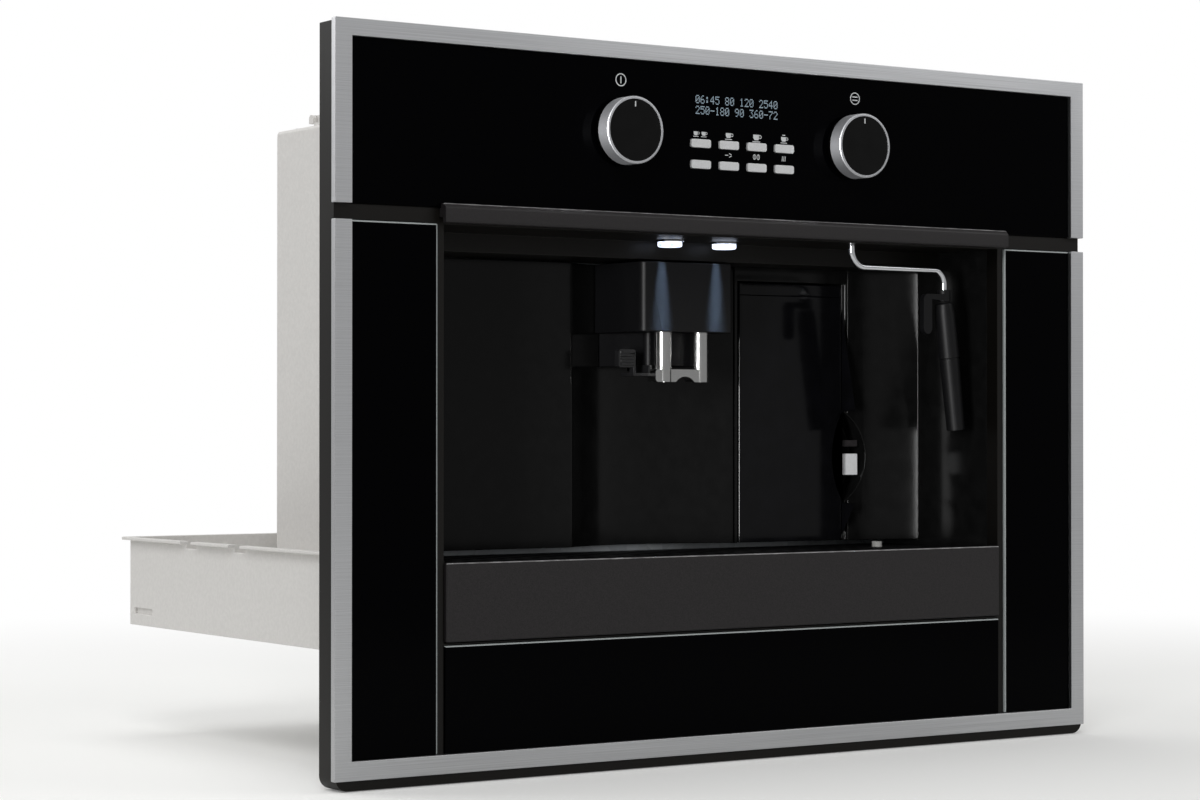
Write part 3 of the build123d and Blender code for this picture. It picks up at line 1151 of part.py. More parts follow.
# ---- Casing ----
def carriage_tray():
    """Open pressed tray that carries the machine, with a rolled rim and the runner holes."""
    height = (CARRIAGE_BOTTOM, CARRIAGE_TOP)
    tray = block(mirrored(CARRIAGE_HALF), (Y_RIBS, CARRIAGE_REAR), height)
    tray = fillet(tray.edges().filter_by(Axis.Z).sort_by(Axis.Y)[-2:], CARRIAGE_CORNER)
    inside = (CARRIAGE_HALF - PLATE, CARRIAGE_REAR - PLATE)
    hollow = block(mirrored(inside[0]), (Y_RIBS + PLATE, inside[1]), (FLOOR_TOP, CARRIAGE_TOP))
    hollow = fillet(hollow.edges().filter_by(Axis.Z).sort_by(Axis.Y)[-2:], CARRIAGE_CORNER - PLATE)
    tray -= hollow
    flange_half = CARRIAGE_HALF + CARRIAGE_FLANGE
    flange_y = (Y_RIBS, CARRIAGE_REAR + CARRIAGE_FLANGE)
    rim = block(mirrored(flange_half), flange_y, (CARRIAGE_TOP - PLATE, CARRIAGE_TOP))
    rim = fillet(rim.edges().filter_by(Axis.Z).sort_by(Axis.Y)[-2:], CARRIAGE_CORNER)
    tray += rim - block(mirrored(CARRIAGE_HALF - PLATE), (Y_RIBS, inside[1]), height) - hollow
    tray -= block(mirrored(LINER_HALF + PANEL_GAP), (Y_RIBS, Y_RIBS + PLATE), (FLOOR_TOP, CARRIAGE_TOP))
    rail_top = RECESS_BOTTOM - MOULD_WALL
    for x in RAIL_PLACES:
        tray += block((x - RAIL_HALF, x + RAIL_HALF), (Y_RIBS + PLATE, LINER_END), (FLOOR_TOP, rail_top))
    for x in mirrored(RUNNER_X):
        for y in (RUNNER_FRONT, RUNNER_FRONT + RUNNER_SPACING):
            tray -= rod_z(x, y, height, RUNNER_HOLE)
    slot_y = (CARRIAGE_REAR - SIDE_SLOT[0], CARRIAGE_REAR - SIDE_SLOT[1])
    slot_z = (CARRIAGE_BOTTOM + SIDE_SLOT_HEIGHT[0], CARRIAGE_BOTTOM + SIDE_SLOT_HEIGHT[1])
    tray -= block(mirrored(flange_half), slot_y, slot_z)
    notch_z = (CARRIAGE_TOP - NOTCH_DEPTH, CARRIAGE_TOP)
    for notch in NOTCH_PLACES:
        tray -= block(mirrored(flange_half), (notch - NOTCH_HALF, notch + NOTCH_HALF), notch_z)
    return tray


def body_housing():
    """Casing sheet: two sides and a top, deep above the recess and open in front, below and behind."""
    shoulder = TOP_SHELF_Z + PLATE + MOULD_WALL + CASING_STEP
    outline = polygon(
        (Y_RIBS, BODY_TOP), (BODY_REAR, BODY_TOP), (BODY_REAR, FLOOR_TOP), (BULKHEAD_BACK, FLOOR_TOP),
        (BULKHEAD_BACK, shoulder), (Y_RIBS, shoulder),
    )
    housing = side_slab(outline, (BODY_LEFT, BODY_RIGHT))
    housing = fillet(housing.edges().filter_by(Axis.Y).sort_by(Axis.Z)[-2:], CASING_CORNER)
    inside_y = (Y_RIBS - CUT_OVERRUN, BODY_REAR + CUT_OVERRUN)
    inside = block((BODY_LEFT + PLATE, BODY_RIGHT - PLATE), inside_y, (0, BODY_TOP - PLATE))
    opening_x = (HOPPER_LEFT + HOPPER_SEAT, HOPPER_RIGHT - HOPPER_SEAT)
    opening_y = (HOPPER_FRONT + HOPPER_SEAT, HOPPER_REAR - HOPPER_REAR_SEAT)
    opening = block(opening_x, opening_y, (BODY_TOP - PLATE - CUT_OVERRUN, BODY_TOP + CUT_OVERRUN))
    return housing - inside - opening


def rear_cover():
    """Rear panel set between the sides, with louvres and the cut-out for the inlet."""
    x = (BODY_LEFT + PLATE, BODY_RIGHT - PLATE)
    cover = block(x, (BODY_REAR - PLATE, BODY_REAR), (FLOOR_TOP, BODY_TOP - PLATE))
    for index in range(LOUVRE_COUNT):
        low = LOUVRE_BOTTOM + index * LOUVRE_PITCH
        across = (LOUVRE_CENTRE_X - LOUVRE_HALF, LOUVRE_CENTRE_X + LOUVRE_HALF)
        cover -= block(across, (BODY_REAR - PLATE, BODY_REAR), (low, low + LOUVRE_HEIGHT))
    return cover - block(INLET_X, (BODY_REAR - PLATE, BODY_REAR), INLET_Z)


def inner_chassis():
    """Sheet chassis: bulkhead behind the recess, base, shelves and the tank bay."""
    bulkhead = rect(mirrored(LINER_HALF), (RECESS_BOTTOM - MOULD_WALL, RECESS_TOP + MOULD_WALL))
    bulkhead -= rect((BODY_LEFT + 2 * PLATE, DOOR_RIGHT - 3 * PLATE), (SHELF_TOP, LOW_CEILING - 2 * PLATE))
    bulkhead -= rect((BAY_LEFT, BAY_RIGHT), (BAY_FLOOR, BAY_TOP))
    chassis = front_slab(bulkhead, (LINER_END, BULKHEAD_BACK))
    inner_x = (BODY_LEFT + PLATE, BODY_RIGHT - PLATE)
    inner_y = (BULKHEAD_BACK, BODY_REAR - PLATE)
    chassis += block(inner_x, inner_y, (FLOOR_TOP, BASE_TOP))
    chassis += block(inner_x, inner_y, (SHELF_Z, SHELF_TOP))
    chassis += block(inner_x, inner_y, (TOP_SHELF_Z, TOP_SHELF_Z + PLATE))
    bay_outer_y = (BULKHEAD_BACK, BAY_REAR + PLATE)
    chassis += block((BAY_LEFT - PLATE, BAY_RIGHT + PLATE), bay_outer_y, (BAY_FLOOR - PLATE, BAY_TOP + PLATE))
    for x in ((BAY_LEFT - PLATE, BAY_LEFT), (BAY_RIGHT, BAY_RIGHT + PLATE)):
        chassis += block(x, bay_outer_y, (BASE_TOP, TOP_SHELF_Z))
    chassis -= block((BAY_LEFT, BAY_RIGHT), (LINER_END, BAY_REAR), (BAY_FLOOR, BAY_TOP))
    chassis -= rod_y(TANK_CENTRE, SPIGOT_Z, (BAY_REAR, BAY_REAR + PLATE), SPIGOT_RADIUS + BAY_GAP / 2)
    chassis -= rod_z(*GRINDER_AXIS, (TOP_SHELF_Z, TOP_SHELF_Z + PLATE), HEAD_RADIUS + PANEL_GAP)
    return chassis - rod_z(*SCREW_AXIS, (SHELF_Z, SHELF_TOP), SCREW_RADIUS + PANEL_GAP)


# ---- Beans and grinder ----
def bean_hopper():
    """Bean bin that narrows onto the grinder, its flange with the ground-coffee chute and the dial hole."""
    flange = rect((HOPPER_LEFT, HOPPER_RIGHT), (HOPPER_FRONT, HOPPER_REAR), HOPPER_CORNER)
    outer_y = (HOPPER_FRONT + BIN_INSET, HOPPER_REAR - BIN_REAR_INSET)
    inner_x = (BIN_X[0] + HOPPER_WALL, BIN_X[1] - HOPPER_WALL)
    inner_y = (outer_y[0] + HOPPER_WALL, outer_y[1] - HOPPER_WALL)
    outer = rect(BIN_X, outer_y, HOPPER_CORNER)
    inner = rect(inner_x, inner_y, HOPPER_CORNER - HOPPER_WALL)
    collar = Pos(*GRINDER_AXIS) * Circle(NECK_RADIUS)
    throat = Pos(*GRINDER_AXIS) * Circle(NECK_RADIUS - HOPPER_WALL)
    low = Plane.XY.offset(HEAD_TOP)
    high = Plane.XY.offset(BIN_FLOOR)
    hopper = plan_slab(flange, (BODY_TOP, HOPPER_TOP)) + plan_slab(outer, (BIN_FLOOR, BODY_TOP))
    hopper += loft([low * collar, high * outer])
    hopper -= plan_slab(inner, (BIN_FLOOR, HOPPER_TOP))
    hopper -= loft([low * throat, high * inner])
    chute_x = (FLAP_LEFT + CHUTE_INSET, FLAP_RIGHT - CHUTE_INSET)
    chute_y = (FLAP_FRONT + CHUTE_INSET, FLAP_REAR - CHUTE_REAR_INSET)
    mouth_x = (chute_x[0] + CHUTE_WALL, chute_x[1] - CHUTE_WALL)
    mouth_y = (chute_y[0] + CHUTE_WALL, chute_y[1] - CHUTE_WALL)
    hopper += block(chute_x, chute_y, (BIN_FLOOR, BODY_TOP))
    hopper -= block(mouth_x, mouth_y, (BIN_FLOOR, HOPPER_TOP))
    hopper += hinge_ears(BIN_X, HOPPER_REAR - LID_BARREL, LID_LOW + LID_BARREL, HOPPER_TOP, LID_PIN)
    flap_pin_z = LID_LOW + FLAP_THICKNESS / 2
    hopper += hinge_ears((FLAP_LEFT, FLAP_RIGHT), FLAP_REAR, flap_pin_z, HOPPER_TOP, FLAP_PIN)
    return hopper - rod_z(DIAL_X, DIAL_Y, (BODY_TOP, HOPPER_TOP), BURR_SHAFT + RUN_FIT)


def hinge_ears(x, y, z, seat, pin):
    """Two ears with pins that face each other, for a lid whose barrel lies between them."""
    profile = Pos(y, z) * Circle(LID_BARREL) + rect((y - LID_BARREL, y + LID_BARREL), (seat, z))
    ears = Part()
    for end, inward in ((x[0], 1), (x[1], -1)):
        ears += side_slab(profile, sorted((end - inward * EAR_WIDTH, end)))
        ears += rod_x(y, z, sorted((end, end + inward * HINGE_REACH)), pin)
    return ears


def hinged_lid(x, y, z, barrel, pin, corner=0.0):
    """Flat lid with a barrel at its rear edge, bored for the two hinge pins."""
    across = (x[0] + PANEL_GAP, x[1] - PANEL_GAP)
    barrel_z = z[0] + barrel
    lid = plan_slab(rect(across, y, corner), z) + rod_x(y[1], barrel_z, across, barrel)
    bore_reach = HINGE_REACH + 1
    for end in x:
        lid -= rod_x(y[1], barrel_z, (end - bore_reach, end + bore_reach), pin + RUN_FIT)
    return lid


def hopper_lid():
    """Lid over the bean bin."""
    y = (HOPPER_FRONT, HOPPER_REAR - LID_BARREL)
    return hinged_lid(BIN_X, y, (LID_LOW, LID_LOW + HOPPER_LID), LID_BARREL, LID_PIN, LID_CORNER)


def ground_coffee_flap():
    """Small flap over the chute for ready-ground coffee."""
    x = (FLAP_LEFT, FLAP_RIGHT)
    height = (LID_LOW, LID_LOW + FLAP_THICKNESS)
    return hinged_lid(x, (FLAP_FRONT, FLAP_REAR), height, FLAP_THICKNESS / 2, FLAP_PIN)


def grind_dial():
    """Dial that sets the grind, on a short shaft through the flange."""
    height = (LID_LOW, LID_LOW + DIAL_HEIGHT)
    dial = rod_z(DIAL_X, DIAL_Y, height, DIAL_RADIUS)
    for index in range(DIAL_GRIPS):
        angle = radians(360 / DIAL_GRIPS * index)
        grip_x = DIAL_X + DIAL_RADIUS * cos(angle)
        grip_y = DIAL_Y + DIAL_RADIUS * sin(angle)
        dial -= rod_z(grip_x, grip_y, height, DIAL_GRIP_RADIUS)
    return dial + rod_z(DIAL_X, DIAL_Y, (BODY_TOP - DIAL_SHAFT, LID_LOW), BURR_SHAFT)


def burr_profile(growth):
    """Half section of the cone burr, grown by a clearance for the ring burr round it."""
    base = BURR_BASE_RADIUS + growth
    low = BURR_BOTTOM - growth
    top = BURR_BOTTOM + BURR_HEIGHT + growth
    skirt = BURR_BOTTOM + BURR_SKIRT
    return polygon((0, low), (base, low), (base, skirt), (BURR_TIP_RADIUS + growth, top), (0, top))


def grinder():
    """Grinder: motor below, head with the ring burr above, and the chute towards the brewing unit."""
    body = rod_z(*GRINDER_AXIS, (SHELF_TOP, HEAD_BOTTOM), MOTOR_RADIUS)
    neck_low = HEAD_TOP - NECK_HEIGHT
    body += rod_z(*GRINDER_AXIS, (HEAD_BOTTOM, neck_low), HEAD_RADIUS)
    body += rod_z(*GRINDER_AXIS, (neck_low, HEAD_TOP), NECK_RADIUS)
    start = HEAD_BOTTOM + GRIND_CHUTE_START
    end = BREW_TOP + GRIND_CHUTE_END
    end_y = CHAMBER_Y - GRIND_CHUTE_REACH
    chute = polygon((GRINDER_Y, start), (end_y, end), (end_y, end + GRIND_CHUTE_HEIGHT),
                    (GRINDER_Y, start + GRIND_CHUTE_HEIGHT))
    body += side_slab(chute, (GRINDER_X - GRIND_CHUTE_HALF, GRINDER_X + GRIND_CHUTE_HALF))
    cavity = Pos(*GRINDER_AXIS, 0) * revolve(Plane.XZ * burr_profile(BURR_GAP), Axis.Z)
    throat_z = (BURR_BOTTOM + BURR_HEIGHT, HEAD_TOP)
    body -= cavity
    body -= rod_z(*GRINDER_AXIS, throat_z, BURR_BASE_RADIUS)
    stem_z = (BURR_BOTTOM - BURR_STEM_BORE, BURR_BOTTOM)
    return body - rod_z(*GRINDER_AXIS, stem_z, BURR_SHAFT + RUN_FIT)


def cone_burr():
    """Turning cone burr with flutes, on its shaft."""
    cone = revolve(Plane.XZ * burr_profile(0), Axis.Z)
    top = BURR_BOTTOM + BURR_HEIGHT
    for index in range(BURR_FLUTES):
        flute = Rot(0, -FLUTE_LEAN, 0) * Box(FLUTE_WIDTH, FLUTE_WIDTH, 2 * BURR_HEIGHT)
        flute = Pos(BURR_BASE_RADIUS, 0, BURR_BOTTOM + BURR_SKIRT) * flute
        cone -= Rot(0, 0, 360 / BURR_FLUTES * index) * flute
    cone += rod_z(0, 0, (BURR_BOTTOM - BURR_STEM, top), BURR_SHAFT)
    return Pos(*GRINDER_AXIS, 0) * cone


# ---- Brewing parts ----
def brew_frame():
    """Frame of the brewing unit: base, two sides, back, and a top with the funnel and the piston."""
    x = (BREW_LEFT, BREW_RIGHT)
    y = (BREW_FRONT, BREW_REAR)
    frame = block(x, y, (SHELF_TOP, BREW_TOP))
    inside = (SHELF_TOP + BREW_WALL, BREW_TOP - BREW_WALL)
    back = (y[1] - BREW_WALL, y[1])
    frame -= block((x[0] + BREW_WALL, x[1] - BREW_WALL), (y[0], back[0]), inside)
    window_x = (x[0] + BREW_WINDOW_INSET, x[1] - BREW_WINDOW_INSET)
    for z in BREW_WINDOWS:
        frame -= block(window_x, back, (z, z + BREW_WINDOW_HEIGHT))
    piston_z = (PISTON_BOTTOM, inside[1])
    frame += rod_z(*CHAMBER_AXIS, piston_z, CHAMBER_RADIUS - PANEL_GAP)
    frame -= rod_z(*CHAMBER_AXIS, piston_z, FUNNEL_LOW)
    frame -= Pos(*CHAMBER_AXIS, BREW_TOP - BREW_WALL / 2) * Cone(FUNNEL_LOW, FUNNEL_TOP, BREW_WALL)
    bore = SCREW_RADIUS + RUN_FIT
    frame -= rod_z(*SCREW_AXIS, (SHELF_TOP, inside[0]), bore)
    return frame - rod_z(*SCREW_AXIS, (inside[1], BREW_TOP), bore)


def brew_chamber():
    """Brewing chamber on its carriage, which the screw lifts to the piston."""
    z = (CARRIAGE_LOW, CARRIAGE_LOW + CARRIAGE_HEIGHT)
    chamber = rod_z(*CHAMBER_AXIS, z, CHAMBER_RADIUS + CHAMBER_WALL)
    slider_x = (BREW_LEFT + BREW_WALL + PANEL_GAP, BREW_RIGHT - BREW_WALL - PANEL_GAP)
    slider_y = (CHAMBER_Y + SLIDER_FRONT, SCREW_Y + SLIDER_REAR)
    chamber += block(slider_x, slider_y, (z[0], z[0] + SLIDER_HEIGHT))
    chamber -= rod_z(*CHAMBER_AXIS, (z[0] + CHAMBER_FLOOR, z[1]), CHAMBER_RADIUS)
    return chamber - rod_z(*SCREW_AXIS, z, SCREW_RADIUS + PANEL_GAP)


def brew_screw():
    """Lifting screw between the frame's base and top, driven from below."""
    low = BASE_TOP + GEARBOX_HEIGHT - SCREW_SEAT
    return rod_z(*SCREW_AXIS, (low, BREW_TOP - SCREW_TOP_GAP), SCREW_RADIUS)


def gear_motor():
    """Gearbox under the shelf with its motor, which drives the lifting screw."""
    top = BASE_TOP + GEARBOX_HEIGHT
    right = GRINDER_X + GEARBOX_HALF
    box_y = (SCREW_Y - GEARBOX_FRONT, SCREW_Y + GEARBOX_REAR)
    box = block((GRINDER_X - GEARBOX_HALF, right), box_y, (BASE_TOP, top))
    motor_radius = GEARBOX_HEIGHT / 2
    box += rod_x(SCREW_Y, BASE_TOP + motor_radius, (right, right + GEAR_MOTOR_LENGTH), motor_radius)
    return box - rod_z(*SCREW_AXIS, (top - SCREW_SOCKET, top), SCREW_RADIUS + RUN_FIT)


def grounds_container():
    """Open bin for the spent coffee, behind the door and left of the brewing unit."""
    x = (BODY_LEFT + PLATE + BIN_LEFT_GAP, GROUNDS_RIGHT)
    y = (BULKHEAD_BACK + PLATE, GROUNDS_REAR)
    top = SHELF_TOP + GROUNDS_HEIGHT
    inner_x = (x[0] + GROUNDS_WALL, x[1] - GROUNDS_WALL)
    inner_y = (y[0] + GROUNDS_WALL, y[1] - GROUNDS_WALL)
    inner = rect(inner_x, inner_y, GROUNDS_CORNER - GROUNDS_WALL)
    bin_body = plan_slab(rect(x, y, GROUNDS_CORNER), (SHELF_TOP, top))
    return bin_body - plan_slab(inner, (SHELF_TOP + GROUNDS_WALL, top))


def boiler():
    """Water heater standing on the shelf, with its cap and two unions."""
    top = SHELF_TOP + BOILER_HEIGHT
    body = rod_z(BOILER_X, BOILER_Y, (SHELF_TOP, top), BOILER_RADIUS)
    band_z = (top - BOILER_BAND_HEIGHT[0], top - BOILER_BAND_HEIGHT[1])
    body += rod_z(BOILER_X, BOILER_Y, band_z, BOILER_RADIUS + BOILER_BAND)
    for x in (BOILER_X - UNION_OFFSET, BOILER_X + UNION_OFFSET):
        body += rod_z(x, BOILER_Y, (top, top + UNION_HEIGHT), UNION_RADIUS)
    return body


def water_pump():
    """Vibrating pump on a saddle, lying along X on the base."""
    x = (PUMP_LEFT, PUMP_LEFT + PUMP_LENGTH)
    coil_x = (x[0] + PUMP_INSET[0], x[1] - PUMP_INSET[1])
    pump = rod_x(PUMP_Y, PUMP_Z, coil_x, PUMP_RADIUS) + rod_x(PUMP_Y, PUMP_Z, x, PUMP_TUBE_RADIUS)
    saddle_x = (coil_x[0] + SADDLE_INSET, coil_x[1] - SADDLE_INSET)
    return pump + block(saddle_x, (PUMP_Y - SADDLE_HALF, PUMP_Y + SADDLE_HALF), (BASE_TOP, PUMP_Z))


# ---- Mains inlet ----
def power_inlet():
    """Mains inlet module in the rear cover: a pinned socket beside the rocker's well."""
    x, z = INLET_X, INLET_Z
    inner_x = (x[0] + PANEL_GAP, x[1] - PANEL_GAP)
    inner_z = (z[0] + PANEL_GAP, z[1] - PANEL_GAP)
    front = BODY_REAR - INLET_DEPTH
    flange = rect((x[0] - INLET_LAP, x[1] + INLET_LAP), (z[0] - INLET_LAP, z[1] + INLET_LAP), INLET_CORNER)
    module = block(inner_x, (front, BODY_REAR), inner_z) + front_slab(flange, (BODY_REAR, INLET_FACE))
    socket_x = (x[0] + SOCKET_LEFT, x[0] + SOCKET_LEFT + SOCKET_WIDTH)
    socket = rect(socket_x, (z[0] + SOCKET_LOW, z[1] - SOCKET_HIGH), INLET_CORNER)
    floor = front + INLET_BACK
    module -= front_slab(socket, (floor, INLET_FACE))
    socket_centre = (socket_x[0] + socket_x[1]) / 2
    blade = Rectangle(2 * PIN_HALF_WIDTH, 2 * PIN_HALF_HEIGHT)
    for pin_x, pin_z in PIN_PLACES:
        place = Pos(socket_centre + pin_x, INLET_MIDDLE + pin_z)
        module += front_slab(place * blade, (floor, floor + PIN_LENGTH))
    well_x, well_z = rocker_well()
    module -= block(well_x, (BODY_REAR - ROCKER_WELL, INLET_FACE), well_z)
    return module + rod_x(Y_ROCKER_PIN, INLET_MIDDLE, well_x, ROCKER_PIN)


def rocker_well():
    """Low and high ends of the rocker's well, across and in height."""
    half_x = ROCKER_WIDTH / 2 + PANEL_GAP
    half_z = ROCKER_HEIGHT / 2 + ROCKER_END_GAP
    centre = INLET_X[1] - ROCKER_INSET
    return (centre - half_x, centre + half_x), (INLET_MIDDLE - half_z, INLET_MIDDLE + half_z)


def switch_rocker():
    """Rocker of the main switch, bored for its pin."""
    well_x, _ = rocker_well()
    across = (well_x[0] + PANEL_GAP, well_x[1] - PANEL_GAP)
    low = INLET_MIDDLE - ROCKER_HEIGHT / 2 + ROCKER_END_GAP
    high = INLET_MIDDLE + ROCKER_HEIGHT / 2 - ROCKER_END_GAP
    back = BODY_REAR - ROCKER_BACK
    low_face = INLET_FACE - ROCKER_LOW
    profile = polygon((back, low + ROCKER_TAPER), (low_face, low), (BODY_REAR + ROCKER_DIP, INLET_MIDDLE),
                      (low_face + ROCKER_TILT, high), (back, high - ROCKER_TAPER))
    return side_slab(profile, across) - rod_x(Y_ROCKER_PIN, INLET_MIDDLE, across, ROCKER_PIN + RUN_FIT)


# ---- Nodes ----
NODES = {
    "front_frame": front_frame(),
    "upper_steel_trim": upper_steel_trim(),
    "lower_steel_trim": lower_steel_trim(),
    "control_glass": control_glass(),
    "pillar_glasses": pillar_glasses(),
    "lower_glass": lower_glass(),
    "handle_strip": handle_strip(),
    "control_board": control_board(),
    "knob_encoders": knob_encoders(),
    "left_knob_cap": knob_cap(-KNOB_X),
    "left_knob_ring": knob_ring(-KNOB_X),
    "right_knob_cap": knob_cap(KNOB_X),
    "right_knob_ring": knob_ring(KNOB_X),
    "recess_liner": recess_liner(),
    "recess_ceiling": recess_ceiling(),
    "lamp_lenses": lamp_lenses(),
    "service_door": service_door(),
    "door_hinge_pins": door_hinge_pins(),
    "spout_housing": spout_housing(),
    "spout_tubes": spout_tubes(),
    "spout_grip": spout_grip(),
    "tank_body": tank_body(),
    "tank_lid": tank_lid(),
    "tank_grip": tank_grip(),
    "tank_coupling": tank_coupling(),
    "drip_tray": drip_tray(),
    "drip_tray_front": drip_tray_front(),
    "drip_grille": drip_grille(),
    "tray_float": tray_float(),
    "wand_pipe": wand_pipe(),
    "wand_grip": wand_grip(),
    "wand_nozzle": wand_nozzle(),
    "steam_connector": steam_connector(),
    "carriage_tray": carriage_tray(),
    "body_housing": body_housing(),
    "rear_cover": rear_cover(),
    "inner_chassis": inner_chassis(),
    "bean_hopper": bean_hopper(),
    "hopper_lid": hopper_lid(),
    "ground_coffee_flap": ground_coffee_flap(),
    "grind_dial": grind_dial(),
    "grinder": grinder(),
    "cone_burr": cone_burr(),
    "brew_frame": brew_frame(),
    "brew_chamber": brew_chamber(),
    "brew_screw": brew_screw(),
    "gear_motor": gear_motor(),
    "grounds_container": grounds_container(),
    "boiler": boiler(),
    "water_pump": water_pump(),
    "power_inlet": power_inlet(),
    "switch_rocker": switch_rocker(),
}
for number, place in enumerate(button_corners(), start=1):
    NODES[f"button_{number}"] = button(place)

os.makedirs("parts", exist_ok=True)
for node, shape in NODES.items():
    export_step(shape, f"parts/{node}.step")
    print(node, len(shape.solids()), round(shape.volume))
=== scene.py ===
# %% [markdown]
# A built-in coffee machine, seen from its left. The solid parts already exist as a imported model, which is
# loaded here as a fixed frame. What is left to make is what the eye reads: the finishes, the rounding of
# the edges, the small marks on the glass and the screws. The frame is in metres: X runs to the right, Y
# into the cabinet and Z up.

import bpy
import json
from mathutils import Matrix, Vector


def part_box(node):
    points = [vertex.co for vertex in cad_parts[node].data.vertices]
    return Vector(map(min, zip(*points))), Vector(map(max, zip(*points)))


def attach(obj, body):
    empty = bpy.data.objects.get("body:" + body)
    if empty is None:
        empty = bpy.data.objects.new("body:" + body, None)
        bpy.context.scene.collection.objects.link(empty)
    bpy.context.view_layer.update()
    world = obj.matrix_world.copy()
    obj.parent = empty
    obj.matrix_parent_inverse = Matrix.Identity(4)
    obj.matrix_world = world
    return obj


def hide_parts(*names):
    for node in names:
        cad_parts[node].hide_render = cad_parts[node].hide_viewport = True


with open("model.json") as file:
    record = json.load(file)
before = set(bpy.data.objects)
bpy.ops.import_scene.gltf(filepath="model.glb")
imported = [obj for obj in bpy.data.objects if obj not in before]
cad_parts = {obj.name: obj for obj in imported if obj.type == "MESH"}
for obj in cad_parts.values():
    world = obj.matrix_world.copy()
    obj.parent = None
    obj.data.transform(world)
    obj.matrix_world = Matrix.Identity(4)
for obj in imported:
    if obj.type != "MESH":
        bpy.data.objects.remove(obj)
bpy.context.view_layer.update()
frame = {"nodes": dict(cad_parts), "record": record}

# %% [markdown]
# Sizes on a drawing are in millimetres and Blender counts in metres, so one factor stands between them.
# Colours are written as on a paint card, in the sRGB values that a screen shows. Shaders reckon with linear
# light, so one function converts each colour, and the Standard view then shows it as it was written.

# %% Units, view and the colour card
import json
import math
import bpy
from mathutils import Vector

MM = 0.001
scene = bpy.context.scene
scene.view_settings.view_transform = "Standard"


def linear(hex_text):
    """A colour written as on a paint card, '#RRGGBB', turned into the linear light that shaders use."""
    parts = [int(hex_text[i:i + 2], 16) / 255 for i in (1, 3, 5)]
    lit = [c / 12.92 if c <= 0.04045 else ((c + 0.055) / 1.055) ** 2.4 for c in parts]
    return (*lit, 1.0)


print("steel grey in linear light", [round(c, 3) for c in linear("#B4B6BA")[:3]])

# %% [markdown]
# Every finish is a small network of shader nodes. One function adds a node with its socket values, the
# sockets that feed it and its settings, so a network reads as a short list. Object coordinates are in
# metres here, because no part is scaled: a texture scale of one over d metres gives cells about d across.

# %% Shader node helpers
finishes = {}


def feed(owner, node, sources):
    """Join the outputs of other nodes to the sockets of one node."""
    for name, source in sources.items():
        owner.node_tree.links.new(source, node.inputs[name])


def add(owner, kind, values={}, sources={}, settings={}):
    """Add one shader node to a material or world: its socket values, what feeds it, and its settings."""
    made = owner.node_tree.nodes.new("ShaderNode" + kind)
    for name, setting in settings.items():
        setattr(made, name, setting)
    for name, value in values.items():
        made.inputs[name].default_value = value
    feed(owner, made, sources)
    return made


def blank(name, values):
    """A material with its shader's fixed values set on the shader itself, ready for texture nodes."""
    made = bpy.data.materials.new(name)
    made.use_nodes = True
    made.node_tree.nodes.clear()
    shader = add(made, "BsdfPrincipled", values)
    add(made, "OutputMaterial", {}, {"Surface": shader.outputs["BSDF"]})
    place = add(made, "TexCoord").outputs["Object"]
    finishes[name] = made
    return made, shader, place


def scale_for(millimetres):
    """The texture scale whose cells are about this wide."""
    return 1.0 / (millimetres * MM)


print("texture scale for cells of 1 mm", round(scale_for(1)))

# %% [markdown]
# The frame round the glass is stamped from sheet stainless steel and brushed with a belt in one direction.
# The belt leaves fine scratches, long one way and a fraction of a millimetre the other. Noise that is
# squeezed across the scratches and drawn out along them gives that. Real scratches lie 0.1 mm apart, too
# fine to show here, so they are drawn 0.5 mm apart. They vary the roughness and lift the surface a little,
# which turns a mirror into a soft, streaked band of light.

# %% Brushed stainless steel
SCRATCH_STEP = 0.5          # mm from one scratch to the next
STREAKS_PER_METRE = 7.0     # along the belt
steel, shader, place = blank("brushed_stainless", {"Metallic": 1.0})
across = scale_for(SCRATCH_STEP)
squeeze = add(steel, "Mapping", {"Scale": (STREAKS_PER_METRE, across, across)}, {"Vector": place})
noise = add(steel, "TexNoise", {"Scale": 1.0, "Detail": 3.0}, {"Vector": squeeze.outputs["Vector"]})
scratches = noise.outputs["Fac"]
rough = add(steel, "MapRange", {"To Min": 0.3, "To Max": 0.46}, {"Value": scratches})
lift = add(steel, "Bump", {"Strength": 0.3, "Distance": 0.02 * MM}, {"Height": scratches})
tone = add(steel, "MapRange", {"From Min": 0.3, "From Max": 0.7}, {"Value": scratches}).outputs["Result"]
shade = add(steel, "Mix", {"A": linear("#B4B5B7"), "B": linear("#CECFD1")}, {"Factor": tone},
            {"data_type": "RGBA"})
feed(steel, shader, {"Roughness": rough.outputs["Result"], "Normal": lift.outputs["Normal"],
                     "Base Color": shade.outputs["Result"]})
print("nodes in the brushed steel", len(steel.node_tree.nodes))

# %% [markdown]
# The front glass is float glass with a black ceramic print fired on its back. It has no colour of its own,
# only what its polished face reflects. Little light fell on it from the front in the photograph, so its
# reflection is kept weak. A broad, faint change in roughness is what wiped glass has. Other polished things
# below differ in the same way, in the shine and not in the colour, so one function makes that finish.


# %% Black glass
def polished(name, values, patch_mm, roughness):
    """One colour all over, with a roughness that wanders between two values in patches of one size."""
    made, shader, place = blank(name, values)
    patches = add(made, "TexNoise", {"Scale": scale_for(patch_mm), "Detail": 2.0}, {"Vector": place})
    rough = add(made, "MapRange", {"To Min": roughness[0], "To Max": roughness[1]},
                {"Value": patches.outputs["Fac"]})
    feed(made, shader, {"Roughness": rough.outputs["Result"]})


polished("black_glass", {"Base Color": linear("#020203"), "Specular IOR Level": 0.02}, 60, (0.02, 0.06))
print("finishes", list(finishes))

# %% [markdown]
# The rim of the glass is ground with a stone, which leaves it pale and matt, and that is the thin light
# line along the top of the lower panes. The grit leaves pits of a few tenths of a millimetre, and a fine
# noise between two greys stands for them.

